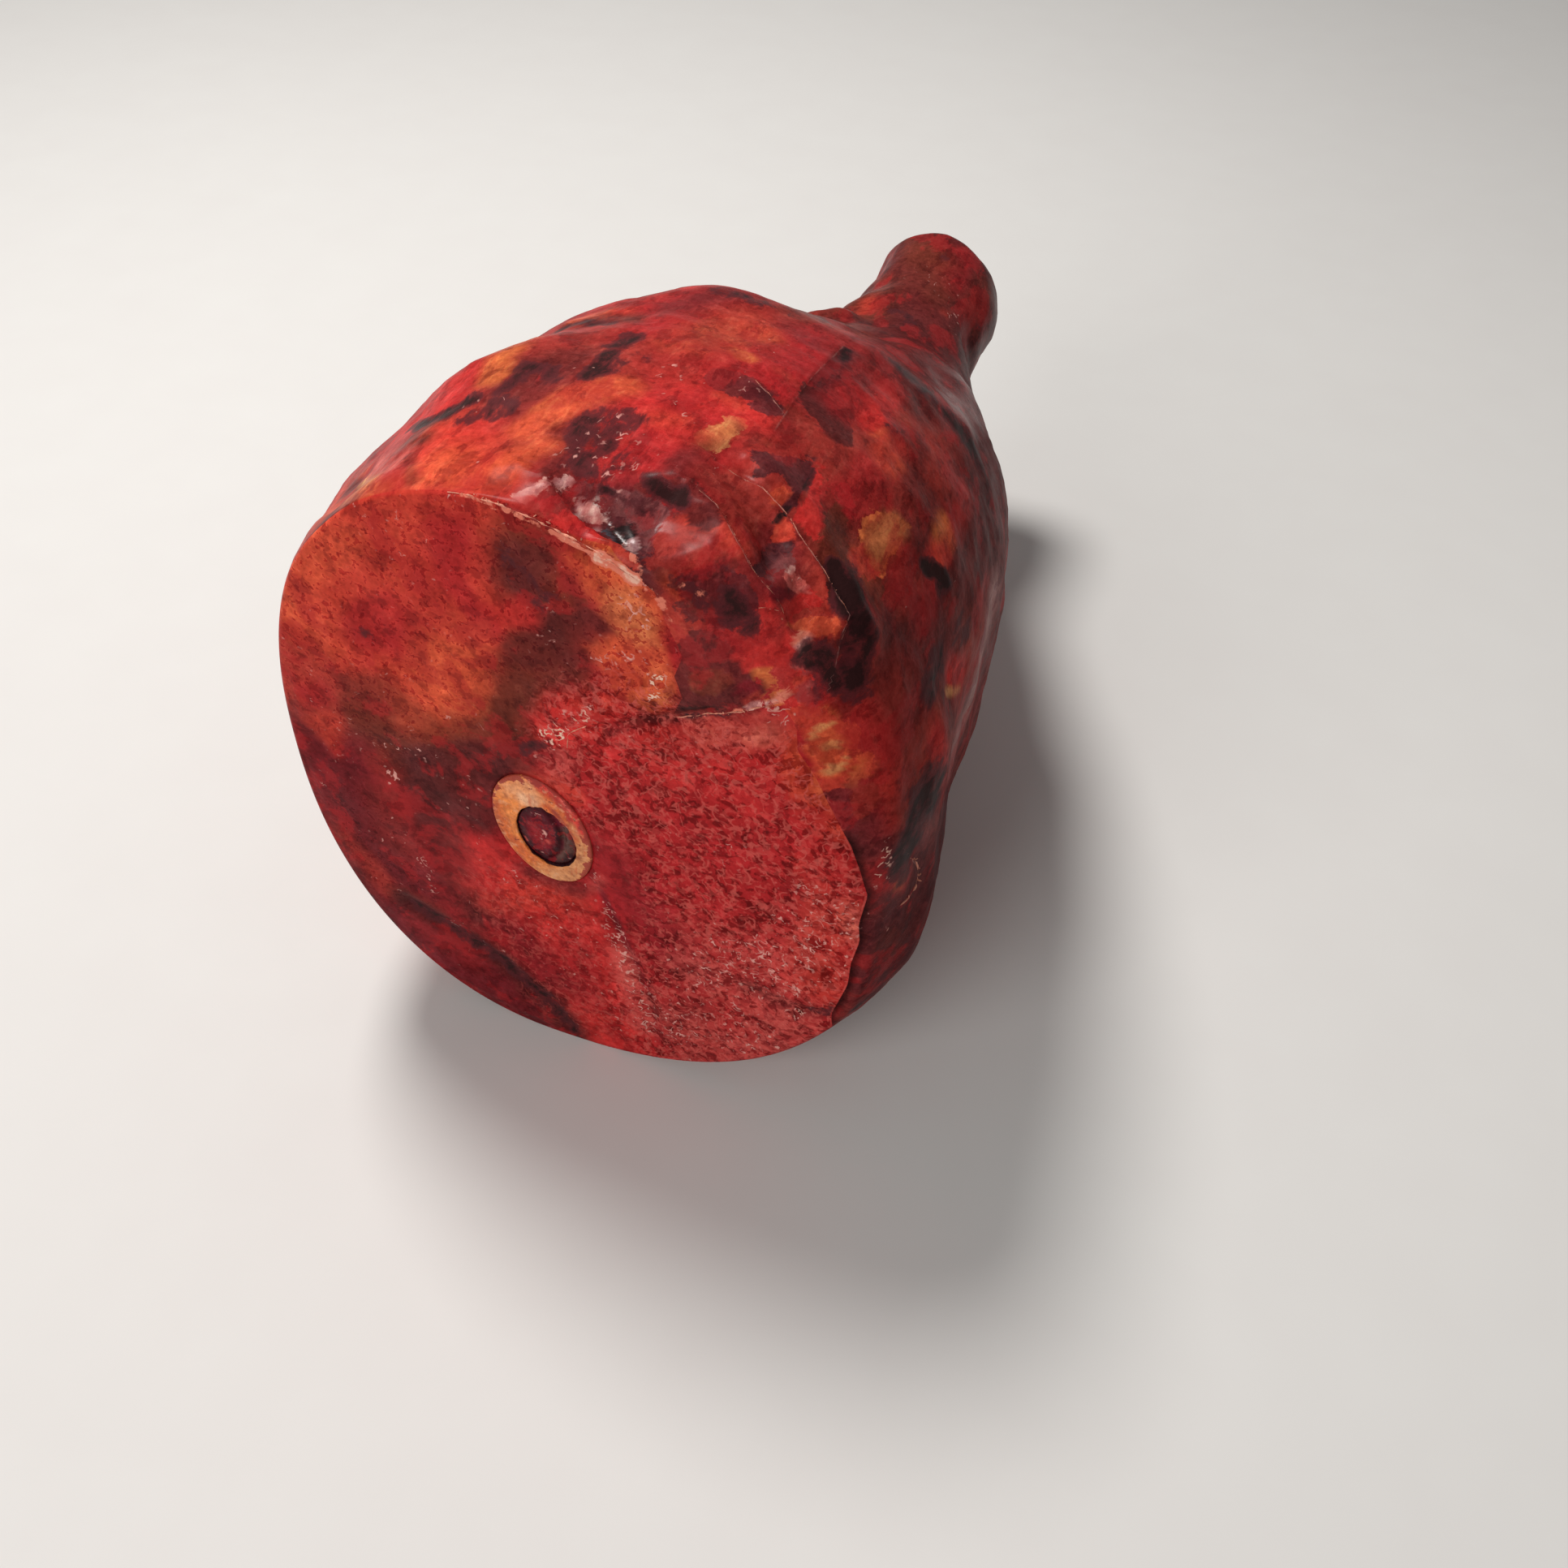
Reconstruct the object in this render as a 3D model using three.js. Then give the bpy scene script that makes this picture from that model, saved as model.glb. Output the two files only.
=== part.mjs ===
// A display copy of a bone-in glazed ham: a foam leg under a glossy printed skin.
// One end is cut flat across the leg and shows the bone and its marrow.
// The other end tapers into the shank. The ham lies on a flat spot on its underside.
//
// Units are millimetres. +Z is up and +Y runs along the leg, from the cut face to the shank.
// "Station" means a distance from the cut face along +Y. "Turn" means an angle round the leg
// in degrees: 0 points along +X, 90 points up and 180 points along -X.

import * as THREE from "three";
import { mergeVertices } from "three/addons/utils/BufferGeometryUtils.js";

// The leg's outline, as a row of equally spaced stations. crest is the X of its top line.
const STATION_PITCH = 32.5;
const STATIONS = [
  { left: -76, right: 79, crest: -8, top: 184, bottom: -1 },
  { left: -86, right: 86, crest: 0, top: 184, bottom: -3 },
  { left: -85, right: 81, crest: -2, top: 182, bottom: -3.5 },
  { left: -78, right: 79, crest: -3, top: 175, bottom: -4 },
  { left: -70, right: 73, crest: -2, top: 164, bottom: 5 },
  { left: -57, right: 66, crest: 0, top: 141, bottom: 27 },
  { left: -36, right: 51, crest: 3, top: 121, bottom: 48 },
  { left: -17, right: 35, crest: 5, top: 110, bottom: 60 },
  { left: -11, right: 31, crest: 6, top: 107, bottom: 66 },
  { left: -16, right: 26, crest: 5, top: 109, bottom: 67 },
];
const LEG_LENGTH = STATION_PITCH * (STATIONS.length - 1);
const BULK_SQUARENESS = 2.25; // superellipse exponent of the section at the cut face
const SHANK_SQUARENESS = 2.0; // and at the shank, where it is a plain ellipse

// The edge of the cut face is sharp, apart from the upper right, where the skin rolls over it.
const SHARP_EDGE = 1.6;
const ROLLED_EDGE = 24;
const ROLLED_EDGE_TURN = 36;
const ROLLED_EDGE_SPREAD = 24;
const SHANK_EDGE = 5;
const SHANK_END_INSETS = [17, 11]; // rings on the shank's end face, measured in from its edge

// Lumps, folds and dents of the skin. Each runs between two spots, given as station and turn.
// reach is its half width and rise its height, which is negative for a dent. A turn is measured
// as a length on the leg's girth, which shrinks towards the shank.
const BODY_RADIUS = 85;
const SHANK_RADIUS = 28;
const RELIEF = [
  { name: "upper fold", from: [39, 66], to: [24, 44], reach: 8, rise: 3.4 },
  { name: "lower fold", from: [26, 75], to: [10, 55], reach: 7, rise: 2.8 },
  { name: "hollow between the folds", from: [33, 70], to: [16, 50], reach: 6, rise: -2.8 },
  { name: "pocket behind the cut edge", from: [6, 80], to: [9, 74], reach: 8, rise: -4 },
  { name: "swelling by the pocket", from: [12, 92], to: [18, 86], reach: 11, rise: 2 },
  { name: "hollow of the shoulder", from: [20, 128], to: [42, 132], reach: 15, rise: -3 },
  { name: "shoulder", from: [58, 112], to: [66, 108], reach: 14, rise: 2.6 },
  { name: "hump before the shank", from: [120, 94], to: [128, 100], reach: 13, rise: 3 },
  { name: "cheek", from: [20, -20], to: [32, -32], reach: 19, rise: 4.8 },
  { name: "dent over the cheek", from: [44, 0], to: [96, 4], reach: 17, rise: -2.2 },
  { name: "far flank swelling", from: [60, 168], to: [90, 176], reach: 24, rise: 3 },
  { name: "near flank swelling", from: [130, 4], to: [150, -12], reach: 18, rise: 1.6 },
  { name: "gathered skin at the neck", from: [205, 122], to: [211, 104], reach: 6, rise: 3.5 },
  { name: "hollow above the neck", from: [214, 88], to: [226, 110], reach: 9, rise: -3 },
  { name: "shank dent", from: [246, 24], to: [240, 4], reach: 9, rise: -2.2 },
  { name: "shank lump", from: [272, 12], to: [280, -20], reach: 10, rise: 2.2 },
];
// The hand-made unevenness of the whole skin: waves along the leg and round it.
const UNEVENNESS = [
  { waves: 2, wavelength: 97, phase: 0.4, height: 0.9 },
  { waves: 3, wavelength: 61, phase: 2.1, height: 0.8 },
  { waves: 5, wavelength: 43, phase: 4.0, height: 0.5 },
];
const UNEVENNESS_FADE = 30; // it fades in over this length, so that the cut edge stays a clean oval

// The bone enters the cut face here, leaning over to -X, and runs inside the leg to the shank.
// The hole for its marrow lies off its middle.
const BONE_AT = { x: -6.3, z: 87.1 };
const BONE_LEAN = 13;
const BONE_HALF_WIDTH = 12.8;
const BONE_HALF_HEIGHT = 17.9;
const BONE_PROUD = 0.4;
const BONE_LENGTH = 262;
const BONE_SHANK_AT = { x: 8, z: 87 };
const BONE_SHANK_SCALE = 0.62;
const BONE_LIP = 0.8;
const CENTRED = { x: 0, z: 0 };
const MARROW_OFF = { x: 0.8, z: -2.4 };
const MARROW_HALF_WIDTH = 7.3;
const MARROW_HALF_HEIGHT = 9.8;
const MARROW_SUNK = 3.2; // depth of the marrow's edge below the bone's end
const MARROW_DOME = 2.4; // how far its middle rises from that edge
const MARROW_DOME_SHARES = [0.8, 0.5, 0.2]; // its rings, as shares of its width
const MARROW_LENGTH = 246;
const GAP = 0.3; // clearance between two pieces

const LEG_SPOKES = 60;
const BODY_RINGS = 48;
const FACE_RINGS = 6;
const BORE_RINGS = 5;
const EDGE_RINGS = 3;
const EDGE_RING_CROWDING = 1.6; // the rings crowd together towards the shank's end face
const BODY_RING_CROWDING = 1.25; // and on the body, towards the cut face
const BONE_SPOKES = 28;
const BONE_RINGS = 7;

const radians = THREE.MathUtils.degToRad;
const lerp = THREE.MathUtils.lerp;

// One size of the leg at a station: a uniform cubic B-spline through the stations' values.
function sizeAt(key, station) {
  const last = STATIONS.length - 1;
  const along = THREE.MathUtils.clamp(station / STATION_PITCH, 0, last - 1e-9);
  const first = Math.floor(along);
  const t = along - first;
  const value = (i) => {
    if (i < 0) return 2 * STATIONS[0][key] - STATIONS[1][key];
    if (i > last) return 2 * STATIONS[last][key] - STATIONS[last - 1][key];
    return STATIONS[i][key];
  };
  return (
    (value(first - 1) * (1 - t) ** 3 +
      value(first) * (3 * t ** 3 - 6 * t ** 2 + 4) +
      value(first + 1) * (-3 * t ** 3 + 3 * t ** 2 + 3 * t + 1) +
      value(first + 2) * t ** 3) /
    6
  );
}

// A point of a four-sided superellipse: each quarter has its own half width and height.
function ovalPoint(turn, { left, right, crest, top, bottom }, exponent) {
  const c = Math.cos(radians(turn));
  const s = Math.sin(radians(turn));
  const halfWidth = c > 0 ? right - crest : crest - left;
  const halfHeight = (top - bottom) / 2;
  return {
    x: crest + halfWidth * Math.sign(c) * Math.abs(c) ** (2 / exponent),
    z: (top + bottom) / 2 + halfHeight * Math.sign(s) * Math.abs(s) ** (2 / exponent),
  };
}

// An angle between two turns, from -180 to 180 degrees.
function turnBetween(from, to) {
  return THREE.MathUtils.euclideanModulo(to - from + 180, 360) - 180;
}

// Height of one lump or dent at a spot on the leg's surface.
function reliefOf({ from, to, reach, rise }, station, turn) {
  const perDegree = radians(lerp(BODY_RADIUS, SHANK_RADIUS, station / LEG_LENGTH));
  const spot = new THREE.Vector2(station - from[0], turnBetween(from[1], turn) * perDegree);
  const run = new THREE.Vector2(to[0] - from[0], turnBetween(from[1], to[1]) * perDegree);
  const share = THREE.MathUtils.clamp(spot.dot(run) / run.lengthSq(), 0, 1);
  const distance = spot.distanceTo(run.multiplyScalar(share));
  return rise * Math.exp(-((distance / reach) ** 2));
}

// How far the skin stands off its smooth outline.
function skinHeight(station, turn) {
  const fade = THREE.MathUtils.smoothstep(station, 0, UNEVENNESS_FADE);
  const waves = UNEVENNESS.reduce(
    (sum, { waves, wavelength, phase, height }) =>
      sum + height * Math.sin(radians(turn) * waves + phase)
        * Math.cos((2 * Math.PI * station) / wavelength + phase),
    0,
  );
  return fade * waves + RELIEF.reduce((sum, one) => sum + reliefOf(one, station, turn), 0);
}

// A point of the leg's skin, moved in towards the section's middle by inset.
function legPoint(station, turn, inset = 0) {
  const sizes = Object.fromEntries(
    Object.keys(STATIONS[0]).map((key) => [key, sizeAt(key, station)]),
  );
  const exponent = lerp(BULK_SQUARENESS, SHANK_SQUARENESS, station / LEG_LENGTH);
  const oval = ovalPoint(turn, sizes, exponent);
  const middle = { x: sizes.crest, z: (sizes.top + sizes.bottom) / 2 };
  const outward = new THREE.Vector2(oval.x - middle.x, oval.z - middle.z);
  outward.setLength(outward.length() + skinHeight(station, turn) - inset);
  return new THREE.Vector3(
    middle.x + outward.x,
    station,
    Math.max(0, middle.z + outward.y),
  );
}

// A quarter-round edge: how far the skin is moved in at a depth behind the end face.
function edgeInset(radius, depth) {
  const left = Math.max(0, radius - depth);
  return radius - Math.sqrt(radius ** 2 - left ** 2);
}

function cutEdgeRadius(turn) {
  const away = turnBetween(ROLLED_EDGE_TURN, turn);
  return SHARP_EDGE + (ROLLED_EDGE - SHARP_EDGE) * Math.exp(-((away / ROLLED_EDGE_SPREAD) ** 2));
}

// An oval ring of the bone, or of its marrow hole, at a station along its tapering length.
function boneRing(station, halfWidth, halfHeight, { off = CENTRED, spokes = BONE_SPOKES } = {}) {
  const share = station / BONE_LENGTH;
  const scale = lerp(1, BONE_SHANK_SCALE, share);
  const x = lerp(BONE_AT.x, BONE_SHANK_AT.x, share) + off.x * scale;
  const z = lerp(BONE_AT.z, BONE_SHANK_AT.z, share) + off.z * scale;
  return Array.from({ length: spokes }, (_, i) => {
    const turn = (2 * Math.PI * i) / spokes;
    const spot = new THREE.Vector2(halfWidth * Math.cos(turn), halfHeight * Math.sin(turn));
    spot.rotateAround(new THREE.Vector2(), radians(BONE_LEAN)).multiplyScalar(scale);
    return new THREE.Vector3(x + spot.x, station, z + spot.y);
  });
}

function middleOf(ring) {
  return ring.reduce((sum, p) => sum.add(p), new THREE.Vector3()).divideScalar(ring.length);
}

// A closed skin over a row of rings, each with the same number of spokes: a lathed drum whose
// points are moved onto the rings. Its two ends close to the middles of the outermost rings.
function ringSkin(rings) {
  const spokes = rings[0].length;
  const rows = rings.length + 2;
  const profile = Array.from({ length: rows }, (_, row) => {
    const isEnd = row === 0 || row === rows - 1;
    return new THREE.Vector2(isEnd ? 0 : 1, -row);
  });
  const drum = new THREE.LatheGeometry(profile, spokes);
  drum.deleteAttribute("normal");
  drum.deleteAttribute("uv");
  const position = drum.getAttribute("position");
  for (let i = 0; i < position.count; i++) {
    const row = i % rows;
    const spoke = Math.floor(i / rows) % spokes;
    const ring = rings[THREE.MathUtils.clamp(row - 1, 0, rings.length - 1)];
    const isEnd = row === 0 || row === rows - 1;
    const point = isEnd ? middleOf(ring) : ring[spoke];
    position.setXYZ(i, point.x, point.y, point.z);
  }
  const skin = mergeVertices(drum);
  skin.computeVertexNormals();
  return skin;
}

// The leg from the tip of the shank, over the body and the cut face, into the bone's bore.
function legRings() {
  const turns = Array.from({ length: LEG_SPOKES }, (_, i) => (360 * i) / LEG_SPOKES);
  const shares = (count) => Array.from({ length: count }, (_, i) => (i + 1) / count);
  const rings = [];

  // The shank's tip: two rings on its end face, then the rounded edge.
  for (const inset of SHANK_END_INSETS) {
    rings.push(turns.map((turn) => legPoint(LEG_LENGTH, turn, inset)));
  }
  for (const share of shares(EDGE_RINGS)) {
    const depth = SHANK_EDGE * share ** EDGE_RING_CROWDING;
    const inset = edgeInset(SHANK_EDGE, depth);
    rings.push(turns.map((turn) => legPoint(LEG_LENGTH - depth, turn, inset)));
  }

  // The body, with its rings closer together towards the cut face.
  const bodyLength = LEG_LENGTH - SHANK_EDGE;
  for (const share of shares(BODY_RINGS)) {
    const station = bodyLength * (1 - share) ** BODY_RING_CROWDING;
    rings.push(turns.map((turn) => legPoint(
      station, turn, edgeInset(cutEdgeRadius(turn), station))));
  }

  // The cut face, which narrows to the mouth of the bore, and the bore itself.
  const rim = rings.at(-1);
  const boreRing = (station) => boneRing(
    station, BONE_HALF_WIDTH + GAP, BONE_HALF_HEIGHT + GAP, { spokes: LEG_SPOKES });
  for (const share of shares(FACE_RINGS)) {
    rings.push(rim.map((point, i) => point.clone().lerp(boreRing(0)[i], share)));
  }
  for (const share of shares(BORE_RINGS)) {
    rings.push(boreRing((BONE_LENGTH + GAP) * share));
  }
  return rings;
}

// The bone from its closed end in the shank to its sawn end, and back down its marrow hole.
function boneRings() {
  const outside = (station, inset = 0) => boneRing(
    station, BONE_HALF_WIDTH - inset, BONE_HALF_HEIGHT - inset);
  const inside = (station, widen = 0) => boneRing(
    station, MARROW_HALF_WIDTH + GAP + widen, MARROW_HALF_HEIGHT + GAP + widen, { off: MARROW_OFF });
  const rings = [];
  for (let i = 0; i < BONE_RINGS; i++) {
    rings.push(outside(lerp(BONE_LENGTH, BONE_LIP, i / (BONE_RINGS - 1))));
  }
  rings.push(outside(-BONE_PROUD, BONE_LIP));
  rings.push(inside(-BONE_PROUD, BONE_LIP));
  for (let i = 0; i < BONE_RINGS; i++) {
    rings.push(inside(lerp(BONE_LIP, MARROW_LENGTH + GAP, i / (BONE_RINGS - 1))));
  }
  return rings;
}

// The marrow, which fills the bone's hole up to a low dome below the sawn end.
function marrowRings() {
  const ring = (station, share = 1) => boneRing(
    station, MARROW_HALF_WIDTH * share, MARROW_HALF_HEIGHT * share, { off: MARROW_OFF });
  const rings = [];
  for (let i = 0; i < BONE_RINGS; i++) {
    rings.push(ring(lerp(MARROW_LENGTH, MARROW_SUNK, i / (BONE_RINGS - 1))));
  }
  for (const share of MARROW_DOME_SHARES) {
    rings.push(ring(MARROW_SUNK - MARROW_DOME * Math.sqrt(1 - share ** 2), share));
  }
  return rings;
}

function namedMesh(name, rings, colour, roughness) {
  const material = new THREE.MeshStandardMaterial({ color: colour, roughness, metalness: 0 });
  const mesh = new THREE.Mesh(ringSkin(rings), material);
  mesh.name = name;
  return mesh;
}

const ham = new THREE.Group();
ham.add(
  namedMesh("ham", legRings(), 0x9e2b1c, 0.35),
  namedMesh("bone", boneRings(), 0xd9a05c, 0.55),
  namedMesh("marrow", marrowRings(), 0x4a1214, 0.3),
);

// The origin is the middle of the ham's footprint, on the surface that it lies on.
const bounds = new THREE.Box3().setFromObject(ham);
const middle = bounds.getCenter(new THREE.Vector3());
ham.position.set(-middle.x, -middle.y, -bounds.min.z);

export default ham;
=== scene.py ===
"""Glazed ham: a display copy of a bone-in ham, with a glossy printed skin over a light core.

Shape numbers are millimetres. A spot on the leg is a station, the distance from the cut face along
the leg, and a turn round it in degrees: 0 points along +X, 90 up and 180 along -X. A spot on the
cut face is its x and z. Meshes are made in metres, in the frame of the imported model.
"""

import math

import bpy
import numpy as np
from mathutils import Matrix, Vector, noise


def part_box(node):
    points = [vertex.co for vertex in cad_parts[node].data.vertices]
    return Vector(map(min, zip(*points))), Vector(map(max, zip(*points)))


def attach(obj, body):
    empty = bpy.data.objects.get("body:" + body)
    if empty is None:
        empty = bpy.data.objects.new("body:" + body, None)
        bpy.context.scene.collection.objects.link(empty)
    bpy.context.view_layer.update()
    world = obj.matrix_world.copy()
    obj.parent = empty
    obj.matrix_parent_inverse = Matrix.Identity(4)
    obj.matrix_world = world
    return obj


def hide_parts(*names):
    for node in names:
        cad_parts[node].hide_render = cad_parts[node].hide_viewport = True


bl_info = {
    "name": "Glazed ham",
    "version": (1, 0, 0),
    "blender": (4, 5, 0),
    "location": "View3D > Sidebar > Ham",
    "description": "Makes the printed skin, the bone, the marrow and the torn paper edges of a ham",
    "category": "Object",
}

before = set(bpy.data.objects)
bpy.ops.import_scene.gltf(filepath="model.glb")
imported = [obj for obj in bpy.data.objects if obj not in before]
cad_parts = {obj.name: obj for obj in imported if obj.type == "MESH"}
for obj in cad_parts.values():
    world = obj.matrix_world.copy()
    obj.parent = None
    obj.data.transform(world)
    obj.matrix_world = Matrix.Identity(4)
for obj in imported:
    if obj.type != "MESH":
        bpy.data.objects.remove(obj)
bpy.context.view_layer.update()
BODY = "root"
MM = 0.001
LEG_SHIFT = np.array([1.3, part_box("ham")[0].y / MM, 0.0])  # from the leg's own lines to the frame

# ---------------- the leg's form

PITCH = 32.5
STATIONS = {
    "left": [-76, -86, -85, -78, -70, -57, -36, -17, -11, -16],
    "right": [79, 86, 81, 79, 73, 66, 51, 35, 31, 26],
    "crest": [-8, 0, -2, -3, -2, 0, 3, 5, 6, 5],
    "top": [184, 184, 182, 175, 164, 141, 121, 110, 107, 109],
    "bottom": [-1, -3, -3.5, -4, 5, 27, 48, 60, 66, 67],
}
SPANS = 9
LEG_LENGTH = PITCH * SPANS
SQUARENESS = (2.25, 2.0)
GIRTH_RADIUS = (85, 28)
SHARP_EDGE = 1.6
ROLLED_EDGE = 24
ROLLED_EDGE_TURN = 36
ROLLED_EDGE_SPREAD = 24
SHANK_EDGE = 5
LUMPS = [  # from, to, half width, rise
    ((39, 66), (24, 44), 8, 3.4),
    ((26, 75), (10, 55), 7, 2.8),
    ((33, 70), (16, 50), 6, -2.8),
    ((6, 80), (9, 74), 8, -4.0),
    ((12, 92), (18, 86), 11, 2.0),
    ((20, 128), (42, 132), 15, -3.0),
    ((58, 112), (66, 108), 14, 2.6),
    ((120, 94), (128, 100), 13, 3.0),
    ((20, -20), (32, -32), 19, 4.8),
    ((44, 0), (96, 4), 17, -2.2),
    ((60, 168), (90, 176), 24, 3.0),
    ((130, 4), (150, -12), 18, 1.6),
    ((205, 122), (211, 104), 6, 3.5),
    ((214, 88), (226, 110), 9, -3.0),
    ((246, 24), (240, 4), 9, -2.2),
    ((272, 12), (280, -20), 10, 2.2),
]
WAVES = [(2, 97, 0.4, 0.9), (3, 61, 2.1, 0.8), (5, 43, 4.0, 0.5)]

BONE_AT = (-6.3, 87.1)
BONE_SHANK_AT = (8, 87)
BONE_LEAN = 13
BONE_HALF = (12.8, 17.9)
BONE_LENGTH = 262
BONE_SHANK_SCALE = 0.62
MARROW_OFF = (0.8, -2.4)
MARROW_HALF = (7.3, 9.8)
MARROW_LENGTH = 246
GAP = 0.3
FIT = 0.22  # how much of that gap the finished pieces take up


def smooth_step(value, low, high):
    share = np.clip((value - low) / (high - low), 0, 1)
    return share * share * (3 - 2 * share)


def leg_size(key, station):
    """One of the leg's sizes: a uniform cubic B-spline through the stations' values."""
    row = np.array(STATIONS[key], float)
    row = np.concatenate([[2 * row[0] - row[1]], row, [2 * row[-1] - row[-2]]])
    along = np.clip(station / PITCH, 0, SPANS - 1e-9)
    first = np.floor(along).astype(int)
    t = along - first
    weights = [
        (1 - t) ** 3,
        3 * t ** 3 - 6 * t ** 2 + 4,
        -3 * t ** 3 + 3 * t ** 2 + 3 * t + 1,
        t ** 3,
    ]
    return sum(weight * row[first + i] for i, weight in enumerate(weights)) / 6


def turn_between(start, end):
    return (end - start + 180) % 360 - 180


def lump_height(station, turn):
    """How far the skin stands off its smooth outline, in large lumps and waves."""
    share = station / LEG_LENGTH
    per_degree = np.radians(GIRTH_RADIUS[0] + (GIRTH_RADIUS[1] - GIRTH_RADIUS[0]) * share)
    height = np.zeros_like(station)
    for waves, length, phase, rise in WAVES:
        along = np.cos(2 * math.pi * station / length + phase)
        height += rise * np.sin(np.radians(turn) * waves + phase) * along
    height *= smooth_step(station, 0, 30)
    for start, end, reach, rise in LUMPS:
        spot = (station - start[0], turn_between(start[1], turn) * per_degree)
        run = (end[0] - start[0], turn_between(start[1], end[1]) * per_degree)
        along = np.clip((spot[0] * run[0] + spot[1] * run[1]) / (run[0] ** 2 + run[1] ** 2), 0, 1)
        distance = np.hypot(spot[0] - along * run[0], spot[1] - along * run[1])
        height += rise * np.exp(-((distance / reach) ** 2))
    return height


def edge_inset(radius, depth):
    left = np.maximum(0, radius - depth)
    return radius - np.sqrt(np.maximum(radius ** 2 - left ** 2, 0))


def cut_edge_radius(turn):
    away = turn_between(ROLLED_EDGE_TURN, turn)
    return SHARP_EDGE + (ROLLED_EDGE - SHARP_EDGE) * np.exp(-((away / ROLLED_EDGE_SPREAD) ** 2))


def leg_point(station, turn, inset, lift=0.0):
    """Points of the skin in the leg's own millimetres, moved in by inset and out by lift."""
    size = {key: leg_size(key, station) for key in STATIONS}
    power = 2 / (SQUARENESS[0] + (SQUARENESS[1] - SQUARENESS[0]) * station / LEG_LENGTH)
    c = np.cos(np.radians(turn))
    s = np.sin(np.radians(turn))
    half_width = np.where(c > 0, size["right"] - size["crest"], size["crest"] - size["left"])
    half_height = (size["top"] - size["bottom"]) / 2
    across = half_width * np.sign(c) * np.abs(c) ** power
    up = half_height * np.sign(s) * np.abs(s) ** power
    radius = np.hypot(across, up)
    scale = (radius + lump_height(station, turn) + lift - inset) / radius
    z = (size["top"] + size["bottom"]) / 2 + up * scale
    return np.stack([size["crest"] + across * scale, station, np.maximum(0, z)], -1)


def on_skin(spots):
    """(station, turn) pairs to points on the skin."""
    pairs = np.array(spots, float)
    station, turn = pairs[:, 0], pairs[:, 1]
    return leg_point(station, turn, edge_inset(cut_edge_radius(turn), station))


def on_face(spots):
    """(x, z) pairs to points on the cut face."""
    pairs = np.array(spots, float)
    return np.stack([pairs[:, 0], np.zeros(len(pairs)), pairs[:, 1]], -1)


def bone_ring(station, half, turns, off=(0, 0)):
    """An oval ring of the bone, or of its marrow hole, at a station along its taper."""
    share = station / BONE_LENGTH
    scale = 1 + (BONE_SHANK_SCALE - 1) * share
    x = BONE_AT[0] + (BONE_SHANK_AT[0] - BONE_AT[0]) * share + off[0] * scale
    z = BONE_AT[1] + (BONE_SHANK_AT[1] - BONE_AT[1]) * share + off[1] * scale
    lean = math.radians(BONE_LEAN)
    across = half[0] * np.cos(turns) * scale
    up = half[1] * np.sin(turns) * scale
    return np.stack([
        x + across * math.cos(lean) - up * math.sin(lean),
        np.full_like(turns, station),
        z + across * math.sin(lean) + up * math.cos(lean),
    ], -1)


# ---------------- paths, marks and noise

def nearest_on_path(points, path, closed=False):
    """For each point: the distance to the path, the nearest spot and the path's way there."""
    best = np.full(len(points), 1e9)
    spot = np.zeros_like(points)
    way = np.zeros_like(points)
    corners = list(path) + ([path[0]] if closed else [])
    if len(corners) == 1:
        return np.linalg.norm(points - corners[0], axis=1), spot + corners[0], way
    for start, end in zip(corners[:-1], corners[1:]):
        run = end - start
        share = np.clip((points - start) @ run / max(run @ run, 1e-9), 0, 1)
        near = start + share[:, None] * run
        distance = np.linalg.norm(points - near, axis=1)
        closer = distance < best
        best[closer] = distance[closer]
        spot[closer] = near[closer]
        way[closer] = run / max(np.linalg.norm(run), 1e-9)
    return best, spot, way


def mark_share(points, path, half_width, softness):
    """1 inside a mark that follows a path, falling to 0 across its soft edge."""
    distance = nearest_on_path(points, path)[0]
    return 1 - smooth_step(distance, half_width * (1 - softness), half_width * (1 + softness))


def vector_noise(points, size, seed=0.0):
    rows = [noise.noise_vector(Vector(p)) for p in points / size + seed]
    return np.array(rows)


def layered_noise(points, size, seed=0.0, octaves=3):
    """Noise round zero, about -1 to 1, with its largest features about size millimetres wide."""
    rows = [noise.fractal(Vector(p), 0.9, 2.1, octaves) for p in points / size + seed]
    return np.array(rows)


def crease_noise(points, size, seed=0.0):
    """Ridged cells like the creases of paper that was crumpled and laid flat again."""
    rows = [noise.noise(Vector(p), noise_basis="VORONOI_F2F1") for p in points / size + seed]
    return np.array(rows)


def outline_depth(across, up, corners):
    """Signed distance in a plane to a closed outline, positive inside."""
    flat = np.stack([across, np.zeros(len(across)), up], -1)
    outline = np.array([(x, 0, z) for x, z in corners], float)
    distance = nearest_on_path(flat, outline, closed=True)[0]
    inside = np.zeros(len(across), bool)
    for (x1, z1), (x2, z2) in zip(corners, corners[1:] + corners[:1]):
        crosses = (z1 > up) != (z2 > up)
        at = x1 + (up - z1) * (x2 - x1) / ((z2 - z1) or 1e-9)
        inside ^= crosses & (across < at)
    return np.where(inside, distance, -distance)


# ---------------- where the print's marks lie, with painted highlights and painted shade among them
# A mark is: colour, half width, softness, strength, and then the spots of its path. With a softness
# up to FIRM it gets a crisp, ragged edge. A facet or field is: colour, strength and its corners.
# Spots and corners are (station, turn) on the skin and (x, z) on the cut face.

FIRM = 0.4
MM_A_TURN = 1.6  # length on the skin of one degree round the leg, near the cut face
FACET_STRAY = 0.5
FIELD_STRAY = 3.0
FIELD_BLUR = 2.2

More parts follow.
